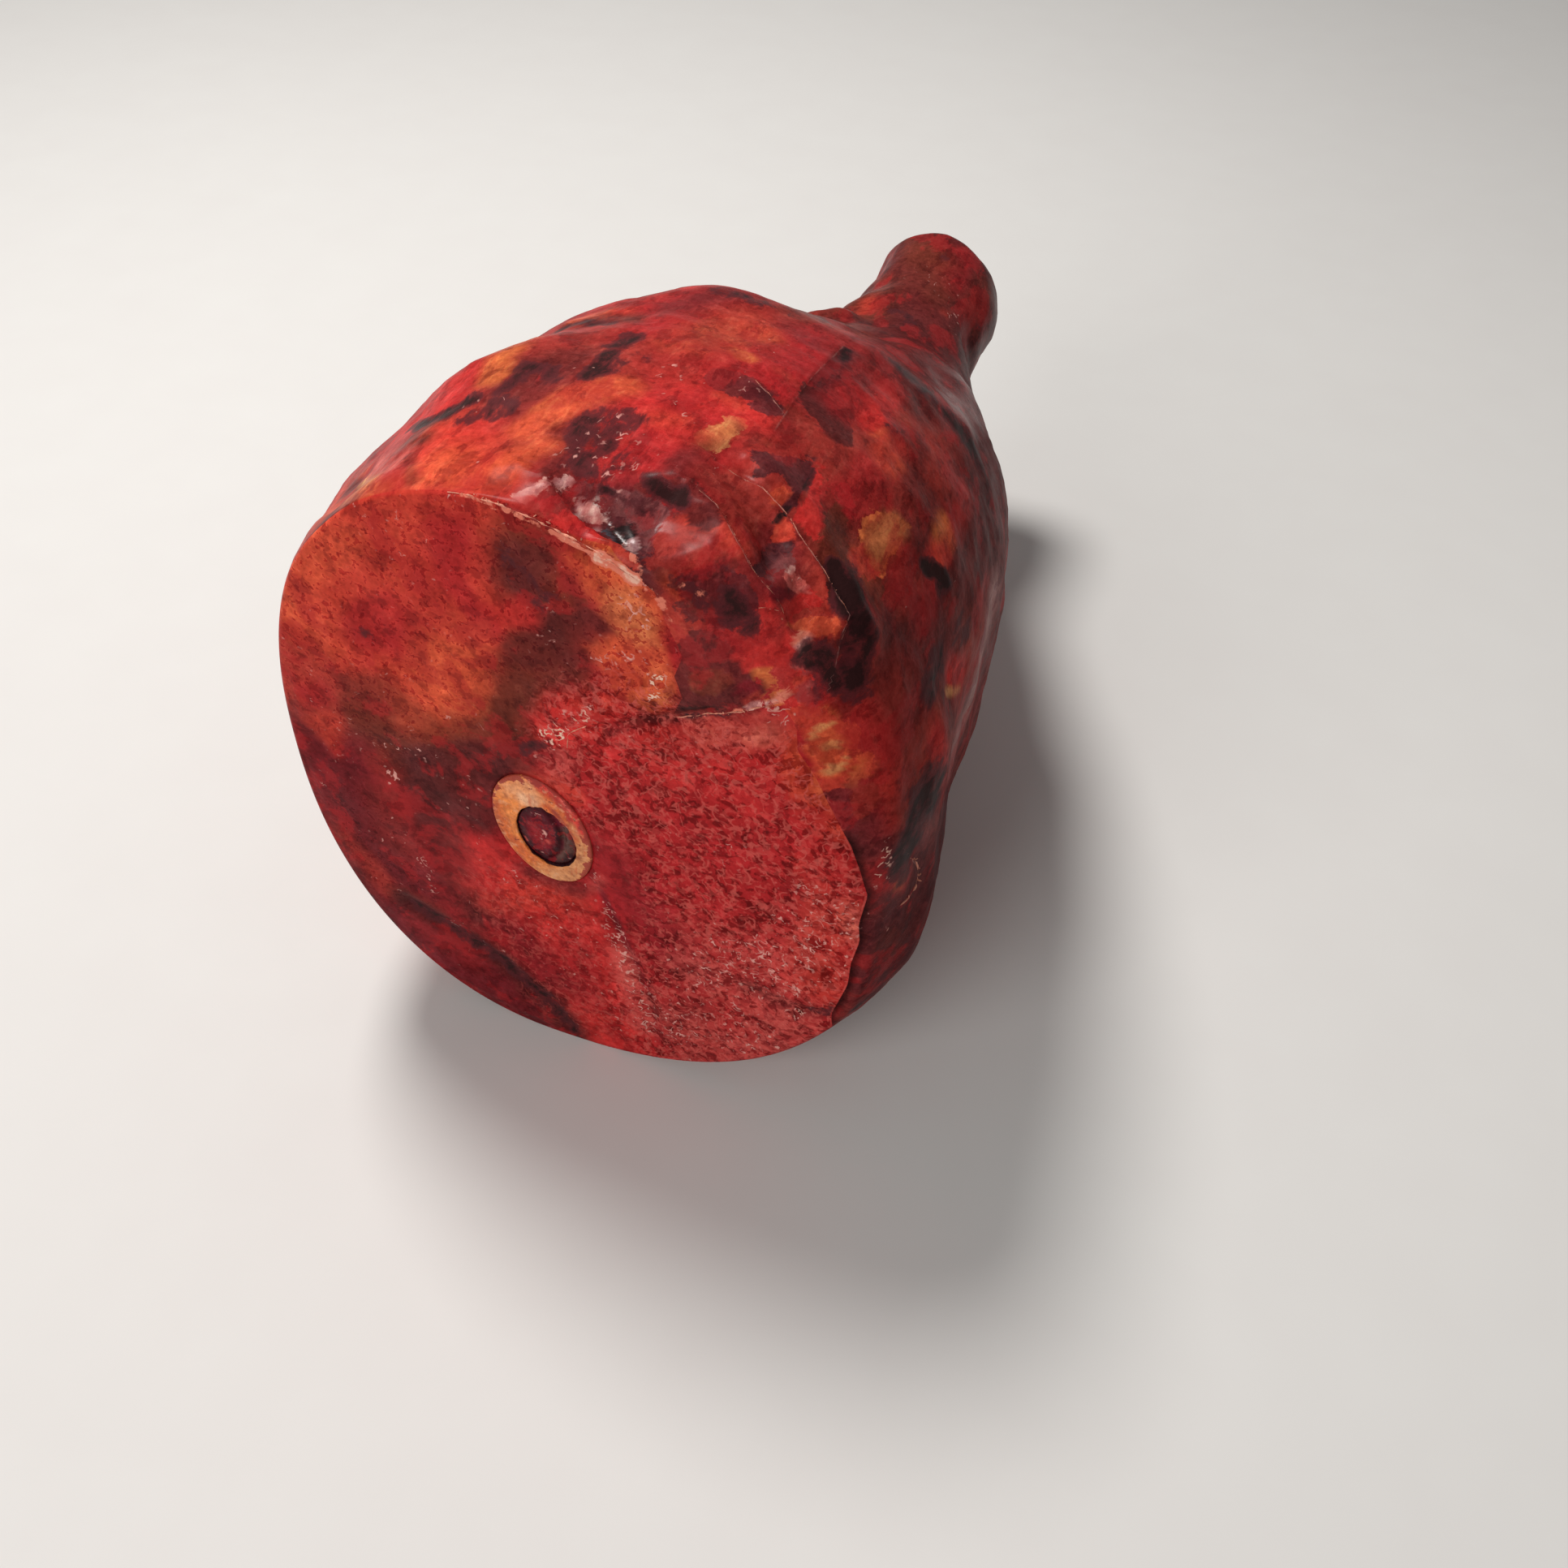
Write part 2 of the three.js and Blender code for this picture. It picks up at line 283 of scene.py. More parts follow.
FACE_PRINT = [
    ("orange_red", 29, 0.45, 0.95, (-50, 122), (-44, 150), (-20, 162)),
    ("brick", 9, 0.7, 0.7, (-75, 122), (-52, 116)),
    ("orange", 9, 0.8, 0.75, (-62, 140), (-58, 164)),
    ("orange", 6, 0.8, 0.7, (-68, 102)),
    ("orange", 10, 0.8, 0.75, (-30, 112), (-24, 138)),
    ("crimson", 8, 0.9, 0.6, (-48, 152), (-42, 138)),
    ("crimson", 9, 0.9, 0.45, (-20, 168), (-28, 150)),
    ("brown", 9, 0.6, 0.85, (-2, 176), (2, 160), (-2, 145), (-10, 126)),
    ("maroon", 6, 0.8, 0.6, (-6, 168), (0, 156)),
    ("brown", 9, 0.7, 0.8, (-12, 122), (-24, 108), (-40, 98), (-52, 104)),
    ("maroon", 9, 0.7, 0.8, (-36, 96), (-24, 88), (-20, 100)),
    ("maroon", 8, 0.5, 0.9, (-38, 84), (-35, 60), (-28, 44)),
    ("rim_red", 13, 0.7, 0.95, (-66, 94), (-60, 74), (-54, 48)),
    ("brick", 6, 0.8, 0.5, (-52, 80), (-50, 64)),
    ("orange_red", 4.5, 0.8, 0.6, (-67, 60), (-58, 42), (-46, 37)),
    ("maroon", 5, 0.8, 0.7, (-76, 62), (-64, 32), (-52, 22)),
    ("rim_red", 9, 0.5, 0.95, (-56, 28), (-38, 17), (-16, 8)),
    ("crimson", 4, 0.8, 0.5, (-50, 30), (-34, 20)),
    ("bright_red", 14, 0.6, 0.9, (-20, 60), (-8, 52), (-2, 34), (4, 12)),
    ("orange_red", 5, 0.9, 0.5, (-24, 50), (-14, 58), (-2, 64)),
    ("rim_red", 8, 0.9, 0.75, (-16, 40), (-8, 26)),
    ("rim_red", 5, 0.9, 0.4, (0, 44), (4, 22)),
    ("maroon", 3, 0.9, 0.7, (-12, 69), (2, 68)),
    ("char", 4.6, 0.7, 0.9, (-52, 39), (-38, 33), (-24, 26), (-12, 15), (-4, 2)),
    ("rose", 4, 0.9, 0.6, (13, 46), (16, 34), (18, 18)),
    # painted shadow: a dark line along the crease below the bone
    ("rim_red", 1.5, 0.6, 0.85, (8, 70), (13, 55), (19, 38), (21, 25), (22, 12)),
    ("crimson", 18, 0.7, 0.8, (24, 104), (44, 108), (56, 96)),
    ("bright_red", 12, 0.9, 0.5, (20, 122), (50, 128)),
    ("rim_red", 8, 0.9, 0.5, (12, 84), (22, 66), (30, 48)),
    ("rose", 11, 0.9, 0.22, (42, 62), (58, 62), (70, 84)),
    ("rose", 11, 0.9, 0.4, (30, 20), (48, 24), (58, 40)),
    ("rose", 8, 0.9, 0.35, (36, 48)),
    ("maroon", 5, 0.9, 0.4, (28, 26), (34, 34)),
    # painted shade in the crease at the lower right
    ("maroon", 3, 0.8, 0.7, (73, 51), (60, 47.6), (48, 50)),
    ("ochre", 6.5, 0.8, 0.7, (17, 176), (23, 162), (24, 146)),
    ("tan", 3, 0.8, 0.25, (26, 158), (28, 146)),
    ("brick", 4, 0.8, 0.6, (16, 166), (14, 150)),
    ("orange", 4, 0.8, 0.6, (24, 172), (30, 164)),
    ("char", 4, 0.8, 0.55, (8, 146), (4, 136), (-4, 130)),
    ("brown", 5, 0.8, 0.6, (12, 140), (26, 134)),
    ("bright_red", 6, 0.6, 0.9, (-2, 122), (4, 130), (14, 134), (24, 131)),
    ("rose", 3, 0.9, 0.4, (2, 114), (-2, 108)),
    # painted shadow line along the crease by the torn edge
    ("char", 1.6, 0.7, 0.65, (14, 128), (24, 135), (34, 140), (48, 146)),
    ("char", 3, 0.8, 0.6, (-20, 104), (-12, 110), (-8, 118)),
    ("orange_red", 3, 0.8, 0.6, (-10, 108), (4, 104)),
    ("rose", 1.5, 0.9, 0.4, (6, 70), (9, 76)),
    ("tan", 4, 0.9, 0.6, (66, 138), (69, 130)),
    ("orange", 6, 0.9, 0.8, (62, 136), (70, 120)),
    ("tan", 3, 0.9, 0.5, (66, 134), (70, 124)),
    ("maroon", 15, 0.9, 0.4, (-72, 90), (-64, 62), (-42, 26), (-14, 8)),
    ("char", 9, 0.9, 0.25, (-38, 88), (-24, 93)),
    ("salmon", 4, 0.9, 0.4, (38, 137), (52, 141)),
    ("salmon", 2.6, 0.8, 0.6, (73, 94), (74, 84)),
    ("orange_red", 7, 0.9, 0.4, (68, 104), (68, 60)),
    ("crimson", 6, 0.9, 0.6, (60, 122), (70, 110), (72, 96)),
]

SKIN_PRINT = [
    # broad fields
    ("deep", 19, 0.7, 0.95, (10, 30), (60, 28), (112, 26)),
    ("brick", 18, 0.7, 0.9, (14, 58), (60, 56), (112, 55)),
    ("crimson", 17, 0.7, 0.95, (30, 80), (80, 82), (116, 84)),
    ("brick", 20, 0.6, 0.85, (26, 106), (60, 106), (104, 104)),
    ("crimson", 12, 0.8, 0.7, (30, 116), (60, 116), (100, 112)),
    ("orange_red", 13, 0.5, 0.95, (2, 96), (12, 102), (18, 108)),
    ("deep", 26, 0.5, 0.9, (20, -6), (70, -4), (120, 4)),
    ("maroon", 24, 0.7, 0.95, (124, 20), (180, 26), (212, 26)),
    ("maroon", 14, 0.7, 0.85, (128, 56), (170, 54), (200, 50)),
    ("crimson", 7, 0.6, 0.85, (122, 68), (160, 66), (196, 62)),
    ("brown", 9, 0.7, 0.8, (122, 82), (150, 84), (180, 78)),
    ("crimson", 6, 0.9, 0.4, (132, 40), (160, 46)),
    ("brown", 18, 0.7, 0.7, (196, 90), (222, 80)),
    ("maroon", 24, 0.7, 0.9, (222, 60), (282, 60)),
    ("maroon", 24, 0.7, 0.8, (222, 0), (282, 0)),
    ("maroon", 20, 0.8, 0.7, (222, 130), (282, 130)),
    ("plum", 14, 0.8, 0.5, (150, 56), (200, 50)),
    ("plum", 12, 0.8, 0.7, (6, 2), (20, -6), (44, -6)),
    # beside the cut edge, at the upper right
    ("crimson", 5, 0.5, 0.9, (2, 18), (3, 36), (1, 54)),
    ("bright_red", 5, 0.7, 0.85, (6, 14), (5, 30), (8, 42)),
    ("orange", 4.4, 0.35, 0.9, (7, 24), (6, 34)),
    ("ochre", 2.5, 0.9, 0.7, (7, 25), (6, 28)),
    ("ochre", 2, 0.9, 0.6, (6, 31), (8, 34)),
    ("brick", 9, 0.8, 0.75, (20, 18), (24, 28)),
    ("bright_red", 4, 0.9, 0.6, (12, 16), (13, 32)),
    ("orange_red", 1.3, 0.6, 0.8, (17, 61), (19, 61)),
    ("bright_red", 5, 0.8, 0.85, (8, 48), (6, 56), (6, 62)),
    ("brick", 6, 0.4, 0.95, (8, 64), (13, 68.6), (20, 64)),
    ("orange_red", 2.6, 0.7, 0.75, (13, 62), (15, 69), (8, 69)),
    ("maroon", 2.4, 0.7, 0.75, (8, 63), (9, 60), (8, 57)),
    ("rim_red", 1.4, 0.7, 0.7, (11, 66), (10, 68)),
    ("brick", 5, 0.5, 0.9, (26, 65), (33, 66), (28, 71)),
    ("orange_red", 1.6, 0.6, 0.85, (33, 63.6), (36, 64)),
    ("rose", 0.9, 0.8, 0.7, (26, 64), (27, 63.6)),
    ("rose", 1, 0.8, 0.6, (36, 67), (34.6, 67.6)),
    ("crimson", 4, 0.8, 0.6, (8, 71), (3, 64), (3, 58)),
    ("orange", 1.5, 0.8, 0.6, (1.5, 68), (1.5, 60)),
    ("plum", 5, 0.8, 0.95, (14, 79), (8, 76), (3, 72)),
    ("rim_red", 5, 0.8, 0.7, (24, 60), (12, 56)),
    # down the middle
    ("orange_red", 1.6, 0.6, 0.8, (33, 58), (37, 58.6)),
    ("brown", 2, 0.5, 0.8, (46, 57), (36, 55.6)),
    ("crimson", 2.2, 0.6, 0.8, (50, 55.6), (44, 54)),
    ("brick", 6, 0.35, 0.95, (59, 61), (61, 68)),
    ("maroon", 6, 0.4, 0.9, (70, 62), (76, 66)),
    ("plum", 3, 0.6, 0.9, (84, 67.5), (104, 67.5), (114, 67.5)),
    # painted light: a paler patch where the flank turns away from the light
    ("tan", 3.2, 0.9, 0.6, (46, 46), (58, 45)),
    ("orange", 4, 0.6, 0.85, (40, 47.5), (33, 48.5)),
    ("brown", 4, 0.6, 0.8, (44, 53), (30, 54)),
    ("brown", 4, 0.7, 0.7, (40, 42), (28, 46)),
    ("crimson", 6, 0.7, 0.7, (50, 54), (64, 53)),
    ("crimson", 5, 0.8, 0.6, (56, 33), (46, 34)),
    ("orange", 3.4, 0.6, 0.9, (80, 35), (68, 36)),
    ("ochre", 2.2, 0.7, 0.9, (82, 37), (72, 38)),
    ("bright_red", 3, 0.8, 0.7, (64, 37), (72, 34)),
    ("bright_red", 4.5, 0.8, 0.75, (86, 34), (104, 34)),
    ("brick", 4, 0.8, 0.7, (78, 48), (72, 50)),
    ("orange", 2, 0.9, 0.6, (79, 49), (73, 50)),
    ("orange_red", 4, 0.7, 0.85, (72, 52), (84, 52)),
    ("ochre", 1.6, 0.7, 0.8, (86, 55), (80, 56)),
    ("maroon", 4, 0.7, 0.7, (92, 52), (88, 54)),
    ("bright_red", 4, 0.5, 0.95, (82, 57.5), (100, 57), (114, 57.5)),
    ("brick", 4, 0.8, 0.8, (106, 40), (92, 41)),
    ("maroon", 2.5, 0.8, 0.7, (72, 45), (100, 48)),
    ("crimson", 5, 0.7, 0.8, (80, 63), (110, 63)),
    ("tan", 3.2, 0.3, 0.75, (40, 76), (50, 74.5)),
    ("ochre", 2.4, 0.8, 0.6, (38, 77), (46, 75)),
    ("brick", 3, 0.7, 0.7, (42, 71), (56, 72)),
    ("maroon", 3.5, 0.8, 0.7, (24, 76), (38, 77)),
    ("bright_red", 6, 0.7, 0.9, (56, 72), (54, 80), (58, 88)),
    ("orange_red", 2.5, 0.9, 0.7, (58, 76), (59, 79)),
    ("bright_red", 6, 0.8, 0.85, (40, 80), (44, 87)),
    ("orange_red", 3, 0.9, 0.7, (43, 81), (40, 84)),
    ("bright_red", 6, 0.8, 0.85, (68, 84), (78, 84)),
    ("plum", 4.5, 0.4, 0.85, (62, 72), (67, 76), (64, 80)),
    ("crimson", 3.5, 0.5, 0.85, (71, 71), (74, 75)),
    ("ochre", 2.8, 0.5, 0.9, (79, 79.5), (81, 81.5)),
    ("orange", 8, 0.6, 0.9, (78, 88), (88, 87), (98, 84)),
    ("ochre", 3, 0.9, 0.7, (80, 86), (86, 88)),
    ("tan", 0.8, 0.8, 0.8, (76, 90), (86, 89.5)),
    ("orange_red", 7, 0.8, 0.7, (104, 84), (96, 92)),
    ("crimson", 6, 0.6, 0.85, (90, 73), (112, 74)),
    ("plum", 4, 0.9, 0.5, (106, 73), (110, 80)),
    ("brick", 12, 0.8, 0.6, (66, 88), (112, 86)),
    ("crimson", 9, 0.8, 0.8, (80, 98), (112, 97)),
    ("plum", 5, 0.9, 0.6, (100, 96), (116, 92)),
    ("orange", 5, 0.7, 0.85, (94, 108), (92, 112)),
    ("bright_red", 3, 0.8, 0.7, (97, 106), (92, 105)),
    ("brown", 5, 0.7, 0.8, (88, 102), (86, 112)),
    # over the left shoulder
    ("orange", 4.6, 0.6, 0.9, (48, 90.5), (38, 94), (26, 96)),
    ("ochre", 1.6, 0.8, 0.8, (37, 96), (33, 97)),
    ("orange", 4, 0.8, 0.8, (20, 92), (8, 93)),
    ("orange", 6, 0.8, 0.7, (16, 106), (6, 102)),
    ("bright_red", 5, 0.8, 0.7, (24, 104), (16, 110)),
    ("deep", 6, 0.7, 0.8, (58, 101), (44, 101), (36, 103)),
    ("maroon", 3, 0.8, 0.7, (52, 103), (40, 105)),
    ("ochre", 4, 0.6, 0.85, (44, 108), (54, 110), (66, 111)),
    ("brick", 7, 0.8, 0.7, (78, 104), (66, 108)),
    ("bright_red", 9, 0.8, 0.75, (44, 118), (38, 124)),
    ("brown", 3.6, 0.6, 0.85, (20, 112), (24, 118), (31, 112)),
    ("rose", 6, 0.9, 0.6, (20, 124), (12, 116)),
    ("brown", 1.8, 0.7, 0.7, (14, 112), (4, 106)),
    ("tan", 2.2, 0.9, 0.7, (8, 118), (14, 124), (20, 130)),
    ("maroon", 3, 0.8, 0.7, (14, 128), (26, 136)),
    ("orange", 5, 0.8, 0.85, (10, 132), (14, 139)),
    ("ochre", 3, 0.9, 0.5, (6, 122), (2, 112)),
    # the right flank
    ("bright_red", 5, 0.8, 0.85, (34, 12), (33, 16)),
    ("bright_red", 3.6, 0.8, 0.9, (65, 14), (56, 18)),
    ("tan", 1.1, 0.8, 0.85, (62, 12), (50, 17)),
    ("crimson", 3, 0.8, 0.7, (100, 18), (78, 18)),
    ("bright_red", 4, 0.8, 0.8, (12, 2), (4, 8)),
    # painted light: brighter glaze by the cut edge on the right flank
    ("amber", 1.6, 0.8, 0.7, (8.6, 2), (10.4, 1.8)),
    ("plum", 6, 0.8, 0.8, (10, 8), (4, 12), (3, 20)),
    ("plum", 8, 0.8, 0.85, (1, -4), (3, -10), (6, -16), (14, -18)),
    ("brown", 4, 0.9, 0.5, (6, -6), (12, -12)),
    ("maroon", 6, 0.8, 0.6, (20, 8), (16, 14)),
    ("brick", 9, 0.9, 0.5, (90, 12), (112, 14)),
    # painted sheen: a grey-pink reflection band along the right flank
    ("mauve", 7, 0.7, 0.6, (168, 20), (126, 16), (100, 12)),
    ("ash", 6, 0.8, 0.45, (108, 12), (92, 8), (76, 2), (58, -1)),
    # neck and shank
    ("deep", 20, 0.9, 0.6, (128, 62), (160, 62), (200, 58)),
    ("maroon", 16, 0.9, 0.5, (150, 74), (200, 66)),
    ("maroon", 26, 0.8, 0.8, (224, 70), (284, 70)),
    ("maroon", 18, 0.8, 0.8, (24, -14), (60, -10)),
    ("mauve", 5, 0.8, 0.6, (150, 40), (196, 30)),
    ("brown", 8, 0.7, 0.9, (222, 100), (232, 112), (252, 112)),
    ("orange_red", 3, 0.8, 0.7, (226, 106), (236, 110)),
    ("deep", 9, 0.9, 0.7, (236, 60), (258, 84)),
    ("brown", 7, 0.9, 0.7, (250, 70), (272, 90)),
    ("orange_red", 1.6, 0.9, 0.6, (242, 58), (244, 54)),
    ("crimson", 6, 0.9, 0.35, (262, 60), (280, 66)),
    ("brown", 6, 0.8, 0.5, (256, 34), (276, 30)),
    ("brown", 8, 0.8, 0.8, (272, 90), (284, 110)),
]

# Flat fields of the print between folds and laps; among them painted highlights and painted shade in the
# pocket and on the fold.
PRINT_FACETS = [
    ("bright_red", 0.9, (0, 86), (1.5, 84), (7.5, 84.5), (6, 83), (1.5, 71), (-0.5, 70), (-0.5, 76),
     (-0.5, 78.5), (-0.5, 82), (-0.5, 84)),
    ("orange_red", 0.8, (1, 78), (5, 77), (1.5, 71), (-0.5, 70), (-0.5, 73.5)),
    # painted highlight: a pink-white band on the flap before the pocket
    ("rose", 0.95, (3, 88), (8, 88), (11.5, 87.5), (11, 87), (7.5, 87), (5, 87)),
    ("crimson", 0.7, (4.5, 87), (6.5, 86), (9, 85.5), (11.5, 85), (12.5, 84.5), (9, 84), (6, 84.5),
     (1.5, 84), (1, 86)),
    # painted highlight in the pocket
    ("pink_and_highlight", 0.9, (6.5, 86), (11, 87), (12, 86.5), (12, 85), (9.5, 85.5), (7, 86)),
    ("mauve", 0.9, (8, 84), (12, 85), (14, 83), (13, 81.5), (11.5, 81.5), (10, 83), (6, 83)),
    # painted highlight: grey-white reflection on the pocket's crumpled film
    ("ash", 0.95, (6, 83), (9.5, 83.5), (10, 82.5), (12.5, 82.5), (11, 81), (9, 79), (6, 79), (6, 81)),
    # painted shade deep in the pocket's crevice
    ("pocket_shade", 1, (5.5, 79), (9.5, 79), (8, 77), (3.5, 75), (4, 76)),
    # painted shade: the black of the pocket's crevice
    ("char", 1, (9.5, 79), (9.5, 78), (10, 76), (7, 74), (3, 74), (4.5, 76), (7, 78)),
    # painted highlight: a pale blotch near the end of the pocket
    ("ash", 0.85, (3, 74.5), (6.5, 75), (7.5, 74), (4, 72), (2, 72)),
    # painted shade at the end of the crevice
    ("plum", 0.9, (1.5, 72), (5.5, 73), (6.5, 72), (1, 70.5)),
    ("mauve", 0.9, (14.5, 82), (16, 79.5), (17, 77), (17, 74), (15, 73), (10.5, 73), (6, 72), (5.5, 73),
     (7.5, 74.5), (10, 76), (9.5, 78), (10, 79), (12.5, 81)),
    # painted shade along the fold line behind the pocket
    ("maroon", 0.9, (14, 83), (14.5, 82), (13, 80.5), (10, 79), (9, 79), (11.5, 81)),
    ("deep", 0.9, (17, 79.5), (20, 78.5), (24, 74), (23, 71), (17.5, 68), (15, 70), (17, 74), (17, 77)),
    ("brick", 0.85, (15, 73), (14, 70), (13, 67), (9, 63.5), (5.5, 64.5), (3, 67), (1, 69), (1, 70.5),
     (10, 73)),
    ("maroon", 0.9, (16, 71), (21, 69.5), (16, 66.5), (13, 67), (14, 70)),
    ("plum", 0.8, (0.5, 66.5), (4, 65), (8, 63), (8.5, 59), (6, 54), (3.5, 52), (1, 57), (0.5, 61.5)),
    ("deep", 0.9, (-0.5, 57), (1.5, 53), (2, 47.5), (0.5, 47), (-0.5, 53)),
    ("bright_red", 0.9, (1.5, 53), (5.5, 53), (10.5, 49), (9.5, 46), (6.5, 45), (2, 47.5)),
    ("bright_red", 0.85, (7, 55), (9.5, 52.5), (13, 49), (11.5, 48), (6, 52.5)),
    ("orange", 0.8, (9, 50.5), (15, 49), (17, 47), (18, 45), (16, 43.5), (12.5, 46), (11.5, 48)),
    ("salmon", 0.9, (8.6, 47.4), (10.6, 48.4), (12.6, 47.4), (11.8, 45.8), (9.6, 45.6)),
    ("bright_red", 0.95, (9.5, 54), (16.5, 54), (20.5, 51), (18.5, 48.5), (14, 50), (10, 52)),
    # painted highlight on the fold's ridge
    ("rose", 0.9, (16.5, 53.5), (20, 54.5), (20.5, 53), (19, 51)),
    # painted highlight along the fold's ridge
    ("pink_and_highlight", 0.85, (15.5, 56), (21, 56), (21.5, 55), (16, 54.5)),
    # painted shade in the fold's crease
    ("plum", 1, (10.5, 59.5), (17.5, 60), (24, 60), (27, 59), (25.5, 57), (22, 58), (11, 57), (9.5, 57)),
    ("mauve", 0.8, (11, 57), (21, 58), (24.5, 57), (22, 55.5), (15.5, 56), (11, 56)),
    ("orange_red", 1, (25, 61), (28.5, 61.5), (30, 61), (29.5, 59.5), (27.5, 58), (25.5, 59.5)),
    ("char", 1, (29, 62), (32, 61.5), (31, 61), (29, 61), (26.5, 62)),
    ("brick", 0.8, (33, 69.5), (34, 66), (33, 63), (32, 62), (29, 63), (18.5, 62), (18, 65), (21, 67.5)),
    ("orange", 0.6, (34, 65.5), (38, 64), (36, 62), (32.5, 62), (31, 63.5)),
    ("plum", 0.9, (41, 71), (56, 62), (51, 60.5), (36, 61), (32.5, 61), (32.5, 62), (37, 62.5), (39, 65),
     (35.5, 67.5)),
    ("bright_red", 0.95, (54.5, 61.5), (54, 60), (44.5, 58), (35.5, 56), (29, 55), (31, 58.5), (31, 60),
     (38.5, 60.5)),
    ("brown", 0.85, (52, 59), (48, 56), (45.5, 53), (31, 49.5), (24, 50.5), (26.5, 54), (35, 56)),
    ("crimson", 0.9, (51, 57), (58, 56), (49, 52), (47, 53), (48, 56)),
    # painted light: brighter glaze where the flank turns away from the light
    ("amber", 0.9, (43, 49), (50, 50.5), (56, 49.5), (60, 45), (56, 42.5), (48, 43), (42.5, 42.5),
     (41, 45)),
    ("ochre", 0.4, (48.5, 50), (54.5, 49), (60, 47.5), (61, 45), (62, 43), (56, 43), (48.5, 43.5),
     (43, 43), (41.5, 45), (42, 47)),
    ("orange_red", 0.9, (35.5, 50), (46, 49), (42.5, 47), (42, 45), (43, 43), (38.5, 44.5), (30.5, 47.5)),
    ("char", 0.9, (23, 50), (28, 50), (30.5, 48), (28, 45), (19, 40), (16.5, 42.5), (18, 45.5),
     (19, 47.5)),
    ("deep", 0.9, (12, 46), (16.5, 43), (19, 40), (16.5, 35.5), (12.5, 39), (11, 43)),
    # painted highlight: a pale sheet along the flap
    ("pink_and_highlight", 0.75, (3.6, 88.8), (8, 88.4), (11.4, 87.2), (12.2, 86), (9.6, 85.8), (6.4, 86.2),
     (4.4, 87.4)),
    # painted highlight on the pocket's grey facet
    ("pink_and_highlight", 0.9, (7.2, 83.2), (9.6, 84.2), (10.6, 82.6), (10, 80.8), (8.4, 79.2), (6.8, 79.4),
     (7, 81.4)),
    # painted highlight on the fold's ridge
    ("rose", 0.9, (15.4, 56.4), (19, 55), (21, 52.8), (20, 51.4), (17, 52.4), (15, 54.4)),
    ("rim_red", 0.8, (8, 56), (11, 55.6), (14.6, 54.4), (16.6, 52.4), (12, 52.8), (8.6, 53.8)),
]

# Flat fields on the rolled upper right edge of the cut, by (x, z); among them a painted shadow line and a
# painted highlight.
EDGE_FACETS = [
    ("maroon", 0.85, (32, 162), (37, 166), (42, 163), (44, 160), (47, 155), (50, 152), (50, 149),
     (47, 147), (44, 146), (36, 142), (31, 140), (30, 146), (31, 154)),
    ("brown", 0.8, (34, 153), (40, 156), (44, 154), (43, 151), (40, 148), (35, 148)),
    ("rim_red", 0.9, (44, 152), (48, 154), (49, 152), (48, 149), (44, 149)),
    ("brick", 0.9, (46, 149), (49, 151), (50, 149), (49, 148), (46, 146)),
    ("bright_red", 0.85, (43, 159), (45, 161), (54, 159), (55, 157), (53, 156), (49, 154), (47, 155),
     (45, 157)),
    ("ochre", 0.75, (47, 156), (51, 156), (53, 153), (53, 151), (54, 148), (52, 147), (50, 149),
     (51, 151), (49, 153)),
    ("mauve", 0.5, (54, 156), (55, 158), (57, 157), (60, 149), (61, 146), (57, 147), (55, 150), (57, 152),
     (56, 154)),
    ("orange_red", 0.9, (54, 154), (56, 154), (58, 153), (56, 150), (55, 150)),
    ("plum", 0.9, (57, 158), (60, 157), (62, 147), (60, 146), (59, 149)),
    ("brick", 0.9, (61, 156), (62, 155), (64, 145), (63, 146)),
    ("orange_red", 0.85, (54, 144), (57, 147), (61, 146), (65, 144), (67, 141), (70, 138), (70, 133),
     (69, 129), (65, 127), (62, 126), (61, 133), (57, 139)),
    ("orange", 0.9, (59, 138), (60, 141), (62, 142), (65, 140), (68, 137), (69, 132), (66, 130),
     (63, 130), (62, 133), (60, 136)),
    ("crimson", 0.9, (54, 143), (57, 142), (59, 138), (61, 133), (63, 130), (62, 127), (60, 124),
     (55, 128), (54, 134), (54, 140)),
    ("tan", 0.6, (59, 138), (60.5, 141.5), (64, 142.5), (64, 141), (62, 140), (60, 137.5)),
    ("tan", 0.5, (62, 137), (64, 138.5), (66.5, 138), (66, 136.5), (63, 136)),
    ("tan", 0.75, (63, 130.5), (64, 132.5), (67, 134), (68.5, 135), (68, 132.5), (65, 130)),
    ("brick", 0.8, (70, 125), (72, 129), (75, 131), (76, 124), (74, 119), (70, 121)),
    # painted shadow: a dark line just above the torn edge
    ("char", 0.9, (32, 141), (38, 143.2), (46, 146.2), (46, 147.2), (38, 144.8), (32, 142.4)),
    ("pink_and_highlight", 0.9, (46, 146.2), (49, 148.6), (51, 147.6), (50, 146), (47, 145.2)),
    ("salmon", 0.9, (51, 148), (54, 151), (55, 150), (54, 148), (52, 147)),
    # painted highlight on the rolled edge
    ("pink_and_highlight", 0.85, (53.6, 159.6), (56, 161), (57, 159.4), (55.4, 158)),
]

